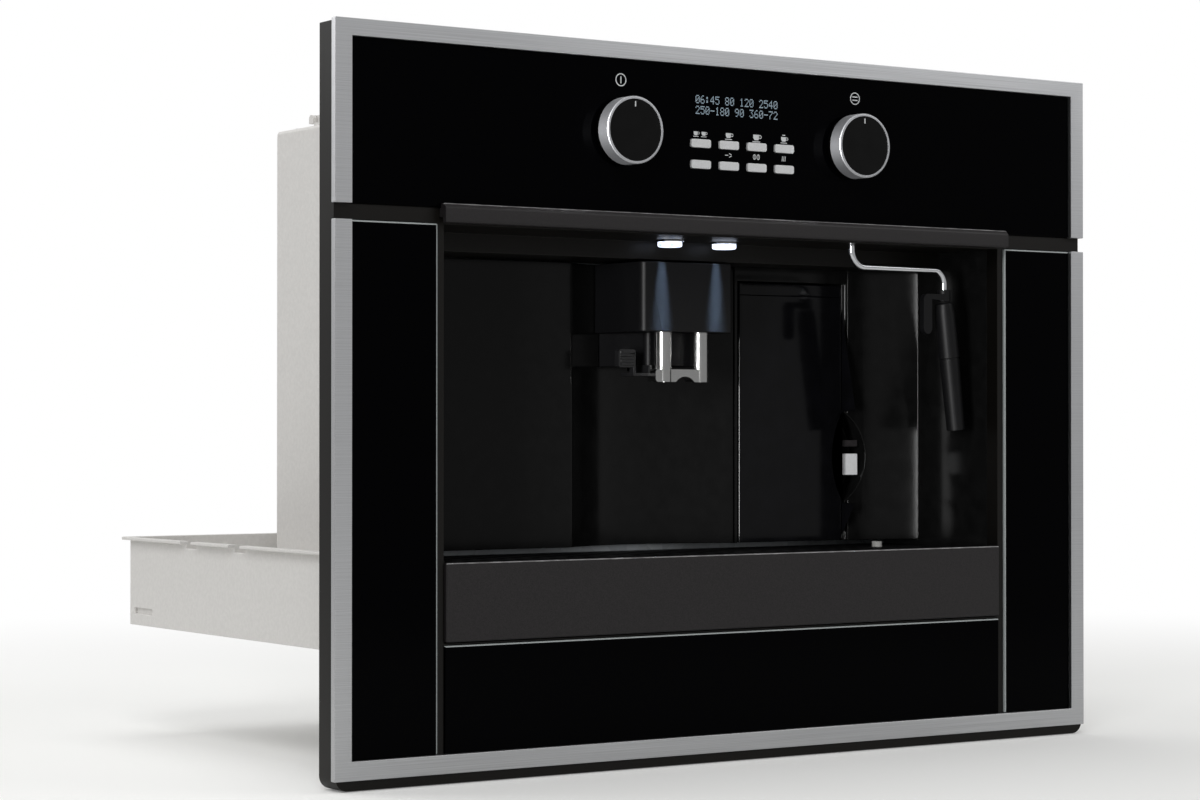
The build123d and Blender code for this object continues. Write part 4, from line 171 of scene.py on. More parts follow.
# %% Ground rim of the glass
rim, shader, place = blank("ground_glass_rim", {"Roughness": 0.55})
grit = add(rim, "TexNoise", {"Scale": scale_for(0.6), "Detail": 2.0}, {"Vector": place})
shade = add(rim, "Mix", {"A": linear("#8F9494"), "B": linear("#C4CACA")}, {"Factor": grit.outputs["Fac"]},
            {"data_type": "RGBA"})
feed(rim, shader, {"Base Color": shade.outputs["Result"]})
print("nodes in the ground rim", len(rim.node_tree.nodes))

# %% [markdown]
# Most of the other parts are moulded plastic, and what differs is the tool they came out of. A tool with a
# spark-eroded surface leaves a fine grain that scatters the light, and a polished one leaves a gloss with a
# very slight waviness. One function takes the grain's size, its height and the range of roughness, so every
# moulding below is the same idea with its own numbers. Real spark grain is 0.1 to 0.3 mm across and is
# drawn coarser. A specular level of 0.5 is what plastic reflects, and most of the dark ones have less,
# because their gloss is weak in the photograph.


# %% Moulded plastics
def moulded(name, colour, speck, grain_mm, height_mm, roughness, values={}):
    """Plastic with a grain: two colours, the grain's size and height, and the range of roughness."""
    made, shader, place = blank(name, values)
    noise = add(made, "TexNoise", {"Scale": scale_for(grain_mm), "Detail": 4.0}, {"Vector": place})
    grain = noise.outputs["Fac"]
    tops = add(made, "MapRange", {"From Min": 0.35, "From Max": 0.75}, {"Value": grain}).outputs["Result"]
    skin = add(made, "Mix", {"A": linear(colour), "B": linear(speck)}, {"Factor": tops},
               {"data_type": "RGBA"})
    rough = add(made, "MapRange", {"To Min": roughness[0], "To Max": roughness[1]}, {"Value": grain})
    lift = add(made, "Bump", {"Strength": 0.6, "Distance": height_mm * MM}, {"Height": grain})
    feed(made, shader, {"Base Color": skin.outputs["Result"], "Roughness": rough.outputs["Result"],
                        "Normal": lift.outputs["Normal"]})


# ABS from a finely eroded tool, on the front surround and the recess's ceiling: a soft, even sheen.
moulded("black_moulding", "#0C0B09", "#161310", 0.9, 0.03, (0.3, 0.45), {"Specular IOR Level": 0.18})
# ABS with a deeper grain, on the pull strip and the tray's front: matt, with only the grain's tops lit.
moulded("dark_textured", "#171516", "#2A2728", 0.7, 0.06, (0.42, 0.6), {"Specular IOR Level": 0.3})
# ABS from a polished tool, on the knobs' caps, the door and the recess's walls: gloss with slow waves.
moulded("gloss_black", "#070707", "#0B0B0B", 9.0, 0.02, (0.1, 0.18), {"Specular IOR Level": 0.13})
# ABS under a silver lacquer, on the buttons and the tank's grip. Its flakes make it a quarter metallic.
moulded("silver_plastic", "#D2D3D4", "#E0E1E2", 0.6, 0.02, (0.28, 0.4), {"Metallic": 0.25})
# Smoked SAN from a polished tool, on the water tank: glossy, and so dark that nothing shows through it.
moulded("smoked_tank", "#050506", "#08080A", 14.0, 0.02, (0.05, 0.12), {"Specular IOR Level": 0.14})
# Nitrile rubber, on the tank's valve seat and the rocker: dull, with highlights that spread wide.
moulded("black_rubber", "#0E0E0E", "#1A1A1A", 0.5, 0.04, (0.6, 0.8))
# Polypropylene, on the drip tray and most of what lies inside: a waxy, half-matt black.
moulded("inner_plastic", "#0E0E0F", "#181819", 0.8, 0.04, (0.3, 0.45), {"Specular IOR Level": 0.3})
# Nylon with an even satin, on the spout's head and the wand's grip. The slotted plate is coated alike.
moulded("satin_black", "#060607", "#0B0B0C", 1.2, 0.03, (0.4, 0.5), {"Specular IOR Level": 0.15})
# Polypropylene in its natural colour, on the level float: pale, with a dull shine.
moulded("pale_float", "#D9D9D4", "#E4E4E0", 1.2, 0.02, (0.3, 0.45))
# Not a moulding but an epoxy board under green lacquer, which its copper tracks lift in the same way.
moulded("circuit_board", "#123A22", "#1C4E30", 2.0, 0.03, (0.3, 0.45))
print("finishes", len(finishes))

# %% [markdown]
# The upper edges of the pull strip and the tray's front get a painted highlight. It is a finish of their own,
# much paler than the grained plastic and a little smoother, and patchy over a centimetre or so.

# %% Painted highlight for edges
# The size of the patches in the painted highlight on the edges.
HIGHLIGHT_PATCH = 11.0           # mm across a worn patch
moulded("painted_edge_highlight", "#6E6C6D", "#B4B3B4", HIGHLIGHT_PATCH, 0.01, (0.3, 0.4))
print("texture scale of the worn patches", round(scale_for(HIGHLIGHT_PATCH), 1))

# %% [markdown]
# The casing and the carriage behind the front are steel sheet with a satin powder coat. The powder melts
# into a skin with a shallow orange peel, a few millimetres from top to top, so its grey stays even and only
# the shine breaks up. That is again a fine relief with two close greys, so the function for mouldings
# serves here too.

# %% Powder-coated casing
moulded("light_grey_casing", "#DAD8D5", "#E2E0DD", 2.4, 0.03, (0.42, 0.55), {"Specular IOR Level": 0.4})
print("nodes in the powder coat", len(finishes["light_grey_casing"].node_tree.nodes))

# %% [markdown]
# Chrome is plated and polished, so it has almost no roughness, only the film of handling. On the coffee
# tubes, which see more wiping, it is duller. Turned steel has fine rings from the tool, too fine to see,
# that widen its highlights. All three are one grey with a shine that varies.

# %% Chrome and turned steel
polished("chrome", {"Metallic": 1.0, "Base Color": linear("#CFD0D3")}, 12, (0.06, 0.14))
polished("dull_chrome", {"Metallic": 1.0, "Base Color": linear("#A9A9A8")}, 8, (0.16, 0.26))
polished("machined_steel", {"Metallic": 1.0, "Base Color": linear("#B0B2B4")}, 0.8, (0.22, 0.38))
print("finishes", len(finishes))

# %% [markdown]
# On the knobs the chrome is plated over a blasted band, which turns it satin: part mirror, part soft grey.
# The grit of the blasting gives both the tone and the roughness. Galvanised sheet shows its crystals, the
# spangle, as patches of different grey about 9 mm across, which a Voronoi texture gives at once.

# %% Satin chrome and galvanised sheet
satin, shader, place = blank("satin_chrome", {"Metallic": 1.0})
bite = add(satin, "TexNoise", {"Scale": scale_for(0.5), "Detail": 2.0}, {"Vector": place}).outputs["Fac"]
shade = add(satin, "Mix", {"A": linear("#9A9B9E"), "B": linear("#B9BABD")}, {"Factor": bite},
            {"data_type": "RGBA"})
rough = add(satin, "MapRange", {"To Min": 0.38, "To Max": 0.46}, {"Value": bite})
feed(satin, shader, {"Base Color": shade.outputs["Result"], "Roughness": rough.outputs["Result"]})

zinc, shader, place = blank("zinc_sheet", {"Metallic": 1.0})
spangle = add(zinc, "TexVoronoi", {"Scale": scale_for(9)}, {"Vector": place}).outputs["Color"]
shade = add(zinc, "Mix", {"A": linear("#8E9295"), "B": linear("#BCC0C3")}, {"Factor": spangle},
            {"data_type": "RGBA"})
rough = add(zinc, "MapRange", {"To Min": 0.35, "To Max": 0.55}, {"Value": spangle})
feed(zinc, shader, {"Base Color": shade.outputs["Result"], "Roughness": rough.outputs["Result"]})
print("finishes", len(finishes))

# %% [markdown]
# The lamps are cold white diodes behind frosted lenses. The lens is what glows, so it gets the emission, a
# little bluer between its small prisms.

# %% Lamp lens
lens, shader, place = blank("lamp_lens",
                            {"Base Color": linear("#E8F0FA"), "Emission Strength": 2.2, "Roughness": 0.5})
prisms = add(lens, "TexVoronoi", {"Scale": scale_for(2.5)}, {"Vector": place}).outputs["Distance"]
glow = add(lens, "Mix", {"A": linear("#FFFFFF"), "B": linear("#5B7FB8")}, {"Factor": prisms},
           {"data_type": "RGBA"})
feed(lens, shader, {"Emission Color": glow.outputs["Result"]})
print("nodes in the lens", len(lens.node_tree.nodes))

# %% [markdown]
# The marks on the glass are ceramic ink, fired on, and the display is a dot display behind the glass that
# shines pale blue. Its dots differ a little in brightness, as such a display's do.

# %% Printed ink and display light
moulded("fired_ink", "#C9CBCC", "#DADCDD", 0.3, 0.005, (0.4, 0.55))

dots, shader, place = blank("display_dots", {"Base Color": linear("#0A1420"), "Emission Strength": 0.55})
flicker = add(dots, "TexNoise", {"Scale": scale_for(6)}, {"Vector": place})
glow = add(dots, "Mix", {"A": linear("#9DB8CC"), "B": linear("#D3E4EE")}, {"Factor": flicker.outputs["Fac"]},
           {"data_type": "RGBA"})
feed(dots, shader, {"Emission Color": glow.outputs["Result"]})
print("finishes", len(finishes))

# %% [markdown]
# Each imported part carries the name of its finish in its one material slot. The loop swaps that plain
# material for the finish of the same name made above. Some parts look different from others of their kind:
# the knobs' bands are satin, the coffee tubes are duller than the steam pipe, the level float and the bean
# bin are pale, and the spout's head, the wand and the slotted plate are satin black.

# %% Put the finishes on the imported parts
home = {node: body for body, nodes in frame["record"]["behaviour"]["bodies"].items() for node in nodes}
instead = {"left_knob_ring": "satin_chrome", "right_knob_ring": "satin_chrome", "tray_float": "pale_float",
           "spout_housing": "satin_black", "spout_tubes": "dull_chrome", "wand_grip": "satin_black",
           "wand_nozzle": "satin_black", "drip_grille": "satin_black", "bean_hopper": "light_grey_casing"}
wears = {}
for node, part in frame["nodes"].items():
    wears[node] = part.material_slots[0].material.name.split(".")[0]
    part.material_slots[0].material = finishes[instead.get(node, wears[node])]
print("parts dressed", len(wears), "in", len(set(wears.values())), "finishes")

# %% [markdown]
# Operators do what the mouse and the menus do, and they act on all that is selected. So there is one
# function that clears the selection, one that takes a single object, and one that opens it with only those
# faces or corners selected that pass a test of their place and direction.


# %% Selecting
def deselect():
    """Object mode with nothing selected."""
    if bpy.context.mode != "OBJECT":
        bpy.ops.object.mode_set(mode="OBJECT")
    bpy.ops.object.select_all(action="DESELECT")


def take(piece):
    """Make one object the only one selected."""
    deselect()
    piece.select_set(True)
    bpy.context.view_layer.objects.active = piece


def settle(piece):
    """Put an object's place, turn and size into its mesh, so that the object sits at the origin."""
    take(piece)
    bpy.ops.object.transform_apply(location=True, rotation=True, scale=True)


def pick(piece, test, corners=False):
    """Open a piece for editing, with only those faces or corners selected that pass the test."""
    settle(piece)
    bpy.ops.object.mode_set(mode="EDIT")
    bpy.ops.mesh.select_mode(type="VERT" if corners else "FACE")
    bpy.ops.mesh.select_all(action="DESELECT")
    bpy.ops.object.mode_set(mode="OBJECT")
    for one in piece.data.vertices if corners else piece.data.polygons:
        one.select = test((one.co if corners else one.center) / MM, one.normal)
    bpy.ops.object.mode_set(mode="EDIT")


def anywhere(place, normal):
    """The test that every face passes."""
    return True


deselect()
print("selected", len(bpy.context.selected_objects))

# %% [markdown]
# No real edge is perfectly sharp, and the thin bright line along an edge is what makes a black object
# readable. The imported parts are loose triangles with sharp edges, so the ones that show are copied, their
# triangles merged back into faces, and their edges rounded with a bevel of a few tenths of a millimetre.
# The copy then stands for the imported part. A width of nought leaves the edges as they are, where the part
# has its roundings already.

# %% Round the edges of a part
WELD = 0.01                         # mm, corners closer than this are one
SAME_FACE = math.radians(1)         # triangles that meet flatter than this are one face
SHARP = math.radians(40)            # edges sharper than this are rounded
SOFT = math.radians(35)             # edges flatter than this are shaded smooth


def softened(node, width_mm, rim_finish=None, where=None, reshape=None):
    """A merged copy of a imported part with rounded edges. Some of its faces may have their own finish."""
    made = bpy.data.objects.new(node + "_rounded", frame["nodes"][node].data.copy())
    scene.collection.objects.link(made)
    take(made)
    bpy.ops.mesh.customdata_custom_splitnormals_clear()
    bpy.ops.object.mode_set(mode="EDIT")
    bpy.ops.mesh.select_all(action="SELECT")
    bpy.ops.mesh.remove_doubles(threshold=WELD * MM)
    bpy.ops.mesh.dissolve_limited(angle_limit=SAME_FACE)
    if reshape:
        reshape(made)
    bpy.ops.object.mode_set(mode="OBJECT")
    if width_mm:
        bevel = made.modifiers.new("edge", "BEVEL")
        bevel.width = width_mm * MM
        bevel.segments = 2
        bevel.angle_limit = SHARP
        bevel.use_clamp_overlap = False
        bpy.ops.object.modifier_apply(modifier="edge")
    if rim_finish:
        made.data.materials.append(finishes[rim_finish])
        for face in made.data.polygons:
            face.material_index = int(where(face.center / MM, face.normal))
    bpy.ops.object.shade_smooth_by_angle(angle=SOFT)
    made.modifiers.new("flat_faces", "WEIGHTED_NORMAL").keep_sharp = True
    bpy.ops.object.modifier_apply(modifier="flat_faces")
    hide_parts(node)
    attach(made, home[node])
    return made


rounding = {
    "upper_steel_trim": 0.4, "lower_steel_trim": 0.4, "control_glass": 0.3, "service_door": 0.5,
    "tank_body": 0.8, "tank_lid": 0.6, "recess_liner": 0.5, "recess_ceiling": 0.5, "carriage_tray": 0.5,
    "body_housing": 0.8, "hopper_lid": 0, "ground_coffee_flap": 0.4, "grind_dial": 0.4, "power_inlet": 0.4,
    "switch_rocker": 0.3, "front_frame": 0.4, "drip_grille": 0.2,
}
rounding.update({"button_%d" % n: 0.35 for n in range(1, 9)})
rounded = {node: softened(node, width) for node, width in rounding.items()}
print("rounded parts", len(rounded))

# %% [markdown]
# Measured again in the photograph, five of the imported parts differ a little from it, so their copies are
# mended before they are rounded. The first two belong to the spout. Its lower body is narrower and shorter,
# and its finger tab stands closer and hangs on a hook that turns up into the body. Every number here is in
# millimetres.


# %% How the spout's copies are mended
def mend_spout(made):
    """Draw the lower body in from 33 to 22.2 mm each side and raise its underside."""
    half, half_seen, body_top, underside, back, rise = 33, 22.2, 276.7, 249.6, 75, 4.7
    pick(made, lambda place, normal: place.z < body_top and place.y < back and abs(place.x) < half + 0.5,
         corners=True)
    bpy.ops.transform.resize(value=(half_seen / half, 1, 1), center_override=(0, 0, 0))
    pick(made, lambda place, normal: place.z < underside, corners=True)
    bpy.ops.transform.translate(value=(0, 0, rise * MM))


def mend_spout_grip(made):
    """Move the tab to the right and turn the end of its foot up into the body."""
    nearer, hook_start, foot_top, hook_rise = 4.0, -24.2, 250, 5.2
    pick(made, anywhere)
    bpy.ops.transform.translate(value=(nearer * MM, 0, 0))
    bpy.ops.mesh.bisect(plane_co=(hook_start * MM, 0, 0), plane_no=(1, 0, 0))
    pick(made, lambda place, normal: normal.z > 0.9 and place.z < foot_top and place.x > hook_start - 0.1)
    bpy.ops.mesh.extrude_region_move(TRANSFORM_OT_translate={"value": (0, 0, hook_rise * MM)})


low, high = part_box("spout_housing")
print("spout_housing is packed with", [round(side / MM, 1) for side in high - low])

# %% [markdown]
# The wand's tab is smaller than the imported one, and its nozzle has a slimmer neck. A cut across the barrel
# lets the neck stay while what lies below it grows. The upper bar of the tank's grip is dark, and the grip
# reaches a little further to the right.


# %% How the copies of the wand and the tank's grip are mended
def mend_wand_grip(made):
    """Shorten the tab and make it narrower and thinner."""
    tab_right, tab_half_way, rise = 180.5, 285, 9.5
    middle_x, middle_y, narrower, thinner = 175.5, 3, 0.76, 0.56
    pick(made, lambda place, normal: place.x < tab_right and place.z < tab_half_way, corners=True)
    bpy.ops.transform.translate(value=(0, 0, rise * MM))
    pick(made, lambda place, normal: place.x < tab_right, corners=True)
    bpy.ops.transform.resize(value=(narrower, thinner, 1), center_override=(middle_x * MM, middle_y * MM, 0))


def mend_nozzle(made):
    """Cut the neck off from the rest of the barrel and fatten what lies below it."""
    neck_end, thicker = 291, 0.8
    pick(made, anywhere)
    bpy.ops.mesh.bisect(plane_co=(0, 0, neck_end * MM), plane_no=(0, 0, 1))
    pick(made, lambda place, normal: place.z < neck_end and abs(normal.z) < 0.5)
    bpy.ops.transform.shrink_fatten(value=thicker * MM)


def mend_tank_grip(made):
    """Give the upper bar the dark grained plastic and make the grip wider to the right."""
    right_end, wider, bar_low = 176, 1.8, 196.5
    pick(made, lambda place, normal: place.x > right_end, corners=True)
    bpy.ops.transform.translate(value=(wider * MM, 0, 0))
    made.data.materials.append(finishes["dark_textured"])
    pick(made, lambda place, normal: place.z > bar_low)
    bpy.ops.object.mode_set(mode="OBJECT")
    for face in made.data.polygons:
        face.material_index = int(face.select)


for node, width, mend in (("spout_housing", 0.8, mend_spout), ("spout_grip", 0.3, mend_spout_grip),
                          ("wand_grip", 0.4, mend_wand_grip), ("wand_nozzle", 0.3, mend_nozzle),
                          ("tank_grip", 0.4, mend_tank_grip)):
    rounded[node] = softened(node, width, reshape=mend)
    print(node, "now measures", [round(side / MM, 1) for side in rounded[node].dimensions])

# %% [markdown]
# Four parts show a paler line where their rounding meets the light. The lower panes are ground along the top
# and beside the recess. On the pull strip and the tray's front, that line along the upper edge is a painted
# highlight.

# %% Edges with a finish of their own
PILLAR_TOP, PILLAR_INSIDE = 335.5, 227.0
LOWER_GLASS_TOP = 81.5
STRIP_TOP, STRIP_FRONT = 347.7, -22.0
for node, width, finish, where in (
        ("pillar_glasses", 0.5, "ground_glass_rim",
         lambda centre, normal: centre.z > PILLAR_TOP or abs(centre.x) < PILLAR_INSIDE),
        ("lower_glass", 0.4, "ground_glass_rim", lambda centre, normal: centre.z > LOWER_GLASS_TOP),
        ("handle_strip", 0.8, "painted_edge_highlight",
         lambda centre, normal: centre.z > STRIP_TOP and centre.y < STRIP_FRONT),
        ("drip_tray_front", 0, "painted_edge_highlight", lambda centre, normal: normal.z > 0.3 and normal.y < -0.3)):
    rounded[node] = softened(node, width, finish, where)
faces = {node: len(made.data.polygons) for node, made in rounded.items()}
print("rounded parts", len(faces), "faces", sum(faces.values()), "most", max(faces, key=faces.get))

# %% [markdown]
# The marks on the glass are flat shapes 0.05 mm in front of it. Each starts as a grid, a circle or a plane
# turned to face the front. When it is finished, its place goes into its mesh, and it gets its name, its
# finish and the body that carries it.

# %% Flat shapes on the front
GLASS_FACE = -19.5          # Y of the glass's front face
INK = 0.05                  # thickness of a printed mark


def fitted(piece, name, body, finish):
    """End a piece: its place in its mesh, its name, its finish and the body that carries it."""
    settle(piece)
    piece.name = name
    piece.data.materials.clear()
    piece.data.materials.append(finishes[finish])
    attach(piece, body)
    return piece


def facing(kind, x, y, z, **sizes):
    """Add a flat primitive that faces the front, at a place in millimetres, with nothing else selected."""
    deselect()
    getattr(bpy.ops.mesh, "primitive_%s_add" % kind)(
        location=(x * MM, y * MM, z * MM), rotation=(math.radians(90), 0, 0), **sizes)
    return bpy.context.object


print("marks lie at y", GLASS_FACE - INK)

# %% [markdown]
# The display shows two rows of characters, each five dots wide and seven high, with one dark column between
# them. Only plain digits are shown. Each character is seven whole numbers, one for each of its lines from
# the top, and the five lowest bits of a number say which dots of that line are lit.

# %% Which dots of the display are lit
shapes = {
    "0": (14, 17, 19, 21, 25, 17, 14), "1": (4, 12, 4, 4, 4, 4, 14), "2": (14, 17, 1, 2, 4, 8, 31),
    "3": (31, 2, 4, 2, 1, 17, 14), "4": (2, 6, 10, 18, 31, 2, 2), "5": (31, 16, 30, 1, 1, 17, 14),
    "6": (6, 8, 16, 30, 17, 17, 14), "7": (31, 1, 2, 4, 8, 8, 8), "8": (14, 17, 17, 14, 17, 17, 14),
    "9": (14, 17, 17, 15, 1, 2, 12), ":": (0, 12, 12, 0, 12, 12, 0), "-": (0, 0, 0, 31, 0, 0, 0),
    " ": (0, 0, 0, 0, 0, 0, 0),
}
DOTS_WIDE, DOTS_HIGH = 5, 7
COLUMN_STEP, LINE_STEP = DOTS_WIDE + 1, DOTS_HIGH + 2
rows = ("06:45 80 120 2540", "250-180 90 360-72")
columns, lines = COLUMN_STEP * len(rows[0]), LINE_STEP + DOTS_HIGH
lit = set()
for row, characters in enumerate(rows):
    for index, character in enumerate(characters):
        for line, bits in enumerate(shapes[character]):
            for column in range(DOTS_WIDE):
                if bits >> (DOTS_WIDE - 1 - column) & 1:
                    lit.add((COLUMN_STEP * index + column, lines - 1 - LINE_STEP * row - line))
print("lit dots", len(lit), "of", columns * lines)

# %% [markdown]
# The whole window is one grid with a cell for each dot. The cells that are dark are deleted, and every cell
# that is lit is inset on its own, so that the dots stand apart.

# %% Display
DISPLAY_LEFT, DISPLAY_LOW = -35.6, 413.6
DOT_WIDE, DOT_HIGH, DOT_MARGIN = 0.65, 0.76, 0.07
wide, high = columns * DOT_WIDE, lines * DOT_HIGH
screen = facing("grid", DISPLAY_LEFT + wide / 2, GLASS_FACE - INK, DISPLAY_LOW + high / 2,
                x_subdivisions=columns, y_subdivisions=lines, size=1)
screen.scale = (wide * MM, high * MM, 1)
pick(screen, lambda centre, normal: (int((centre.x - DISPLAY_LEFT) / DOT_WIDE),
                                     int((centre.z - DISPLAY_LOW) / DOT_HIGH)) not in lit)
bpy.ops.mesh.delete(type="FACE")
bpy.ops.mesh.select_all(action="SELECT")
bpy.ops.mesh.inset(thickness=DOT_MARGIN * MM, use_individual=True)
bpy.ops.mesh.select_all(action="INVERT")
bpy.ops.mesh.delete(type="FACE")
fitted(screen, "display_digits", "machine", "display_dots")
print("dots", len(screen.data.polygons), "of", len(lit))

# %% [markdown]
# Over each knob stands a small round sign, and over most of the buttons a pictogram no wider than 7 mm.
# They are all made of bars and rings. A bar is a plane that is scaled, and a ring is a filled circle whose
# face is inset and then deleted in the middle. The bars and rings of one sign are joined into one piece.


# %% Bars and rings
def bar(x, z, wide, high, lean=0.0, y=GLASS_FACE - INK):
    """A printed bar about a centre, leaning by some degrees."""
    made = facing("plane", x, y, z, size=1)
    made.scale = (wide * MM, high * MM, 1)
    made.rotation_euler.y = math.radians(lean)
    return made


def ring(x, z, radius, line, squash=1.0):
    """A printed ring, or an oval when squashed sideways."""
    made = facing("circle", x, GLASS_FACE - INK, z, vertices=28, radius=radius * MM, fill_type="NGON")
    made.scale.x = squash
    pick(made, anywhere)
    bpy.ops.mesh.inset(thickness=line * MM)
    bpy.ops.mesh.delete(type="FACE")
    bpy.ops.object.mode_set(mode="OBJECT")
    return made


def sign(name, strokes, body="machine"):
    """Join bars and rings into one printed mark."""
    deselect()
    for stroke in strokes:
        stroke.select_set(True)
    bpy.context.view_layer.objects.active = strokes[0]
    if len(strokes) > 1:
        bpy.ops.object.join()
    return fitted(strokes[0], name, body, "fired_ink")


SIGN_Z, SIGN_RADIUS, SIGN_LINE = 431.5, 4.1, 0.65
LEFT_SIGN_X, RIGHT_SIGN_X = -93.2, 94.6
sign("sign_left_knob", [ring(LEFT_SIGN_X, SIGN_Z, SIGN_RADIUS, SIGN_LINE),
                        bar(LEFT_SIGN_X, SIGN_Z, 0.8, 4.4)])
made = sign("sign_right_knob", [ring(RIGHT_SIGN_X, SIGN_Z, SIGN_RADIUS, SIGN_LINE)]
            + [bar(RIGHT_SIGN_X, SIGN_Z + rise, 4.6, 0.7) for rise in (1.1, -1.1)])
print("faces of the right sign", len(made.data.polygons))

# %% [markdown]
# Most of the pictograms show a cup on its saucer. Its bowl is a bar that is cut across the middle, so that
# it has corners there, and then drawn in at its lower edge. A ring is the handle and a thin bar the saucer.


# %% Cups
def bowl(x, z, wide, high):
    """A filled bowl: a bar cut across the middle, with its lower edge drawn in."""
    made = bar(x, z, wide, high)
    pick(made, anywhere)
    bpy.ops.mesh.bisect(plane_co=(0, 0, (z - 0.1 * high) * MM), plane_no=(0, 0, 1))
    pick(made, lambda place, normal: place.z < z - 0.4 * high, corners=True)
    bpy.ops.transform.resize(value=(0.6, 1, 1), center_override=(x * MM, 0, z * MM))
    bpy.ops.object.mode_set(mode="OBJECT")
    return made


def cup(x, z, size):
    """Strokes of a cup on its saucer: a filled bowl, a handle ring and a line below."""
    return [bowl(x, z, size, 0.72 * size), ring(x + 0.62 * size, z + 0.08 * size, 0.24 * size, 0.1 * size),
            bar(x, z - 0.56 * size, 1.25 * size, 0.12 * size)]


FIRST_BUTTON, BUTTON_PITCH = -31.75, 22.3
BUTTON_X = [FIRST_BUTTON + BUTTON_PITCH * n for n in range(4)]
UPPER_SIGNS_Z, LOWER_SIGNS_Z = 401.2, 388.5
sign("sign_two_cups", cup(BUTTON_X[0] - 3.6, UPPER_SIGNS_Z, 3.4) + cup(BUTTON_X[0] + 2.6, UPPER_SIGNS_Z, 3.4))
sign("sign_small_cup", cup(BUTTON_X[1], UPPER_SIGNS_Z, 4.4))
sign("sign_large_cup", cup(BUTTON_X[2], UPPER_SIGNS_Z, 5.0))
sign("sign_tall_cup", cup(BUTTON_X[3], UPPER_SIGNS_Z, 4.2)
     + [bar(BUTTON_X[3], UPPER_SIGNS_Z + 2.7, 2.4, 0.5)])
print("buttons stand at x", [round(x, 2) for x in BUTTON_X])

# %% [markdown]
# The lower row has three signs of its own: a line with an arrow's tip for rinsing, two beans, and three
# slanting lines for water. All are general signs.

# %% Signs of the lower row
_, rinse_x, bean_x, water_x = BUTTON_X
sign("sign_rinse", [bar(rinse_x - 1.6, LOWER_SIGNS_Z, 2.6, 0.5)]
     + [bar(rinse_x + 1.4, LOWER_SIGNS_Z + rise, 2.2, 0.5, lean) for rise, lean in ((0.8, 25), (-0.8, -25))])
sign("sign_bean", [ring(bean_x + side, LOWER_SIGNS_Z, 1.8, 0.4, 0.7) for side in (-1.5, 1.5)]
     + [bar(bean_x + side, LOWER_SIGNS_Z, 0.35, 2.6) for side in (-1.5, 1.5)])
made = sign("sign_water", [bar(water_x + side, LOWER_SIGNS_Z, 0.45, 3.4, 8) for side in (-1.2, 0, 1.2)])
print("faces of the water sign", len(made.data.polygons))

# %% [markdown]
# Each knob has one short white line near its rim, so that its turn can be read. It is filled paint on the
# knob's face, and it rides on the knob, not on the machine.

# %% Index lines of the knobs
LINE_DOWN, LINE_WIDE, LINE_LONG = 4.6, 0.9, 3.4
for side in ("left", "right"):
    low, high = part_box(side + "_knob_cap")
    middle, top, face = (low.x + high.x) / 2 / MM, high.z / MM, low.y / MM
    line = bar(middle, top - LINE_DOWN, LINE_WIDE, LINE_LONG, y=face - INK)
    sign("index_%s_knob" % side, [line], side + "_knob")
    print(side, "knob face at", round(face, 2), "middle", round(middle, 2), "top", round(top, 2))

# %% [markdown]
# The rear cover and the top of the casing are held with pan-head screws with a cross recess. The head is
# modelled once: a short cylinder whose top is rounded to a dome. The recess is not cut. Two dark strips laid
# crosswise over the top are painted shade in its place. The head is then copied to each place, turned to face
# outwards, and each copy has its own mesh.

# %% Screw head
HEAD_RADIUS, HEAD_HIGH, DOME = 3.5, 1.6, 0.7
CROSS_LONG, CROSS_WIDE = 3.4, 0.9


def screw_head():
    """A pan head whose cross recess is two strips of painted shade, facing up at the origin."""
    deselect()
    bpy.ops.mesh.primitive_cylinder_add(vertices=24, radius=HEAD_RADIUS * MM, depth=HEAD_HIGH * MM,
                                        location=(0, 0, HEAD_HIGH / 2 * MM))
    head = bpy.context.object
    head.data.materials.append(finishes["machined_steel"])
    pick(head, lambda centre, normal: normal.z > 0.9)
    bpy.ops.mesh.bevel(offset=DOME * MM, segments=3, affect="EDGES")
    # The cross recess is painted shade: two flat strips in the rubber's black, just above the dome.
    recess_shade_strips = []
    for above, wide, long in ((0.02, CROSS_LONG, CROSS_WIDE), (0.03, CROSS_WIDE, CROSS_LONG)):
        deselect()
        bpy.ops.mesh.primitive_plane_add(size=1, location=(0, 0, (HEAD_HIGH + above) * MM))
        strip = bpy.context.object
        strip.scale = (wide * MM, long * MM, 1)
        settle(strip)
        strip.data.materials.append(finishes["black_rubber"])
        recess_shade_strips.append(strip)
    take(head)
    for strip in recess_shade_strips:
        strip.select_set(True)
    bpy.ops.object.join()
    bpy.ops.object.shade_smooth_by_angle(angle=math.radians(30))
    return head


master = screw_head()
print("faces of a screw head", len(master.data.polygons))

# %% [markdown]
# Eight screws hold the cover, in its corners, at its top and bottom middle and half-way up its sides. Four
# more hold the top of the casing. A screw keeps its two finishes, so only its name and its body are set.


# %% Screws in their places
def copied(master, spot, turn=(0, 0, 0)):
    """A copy with its own mesh, at a place in millimetres and turned by some degrees."""
    made = bpy.data.objects.new("copy", master.data.copy())
    scene.collection.objects.link(made)
    made.location = [v * MM for v in spot]
    made.rotation_euler = [math.radians(v) for v in turn]
    settle(made)
    return made


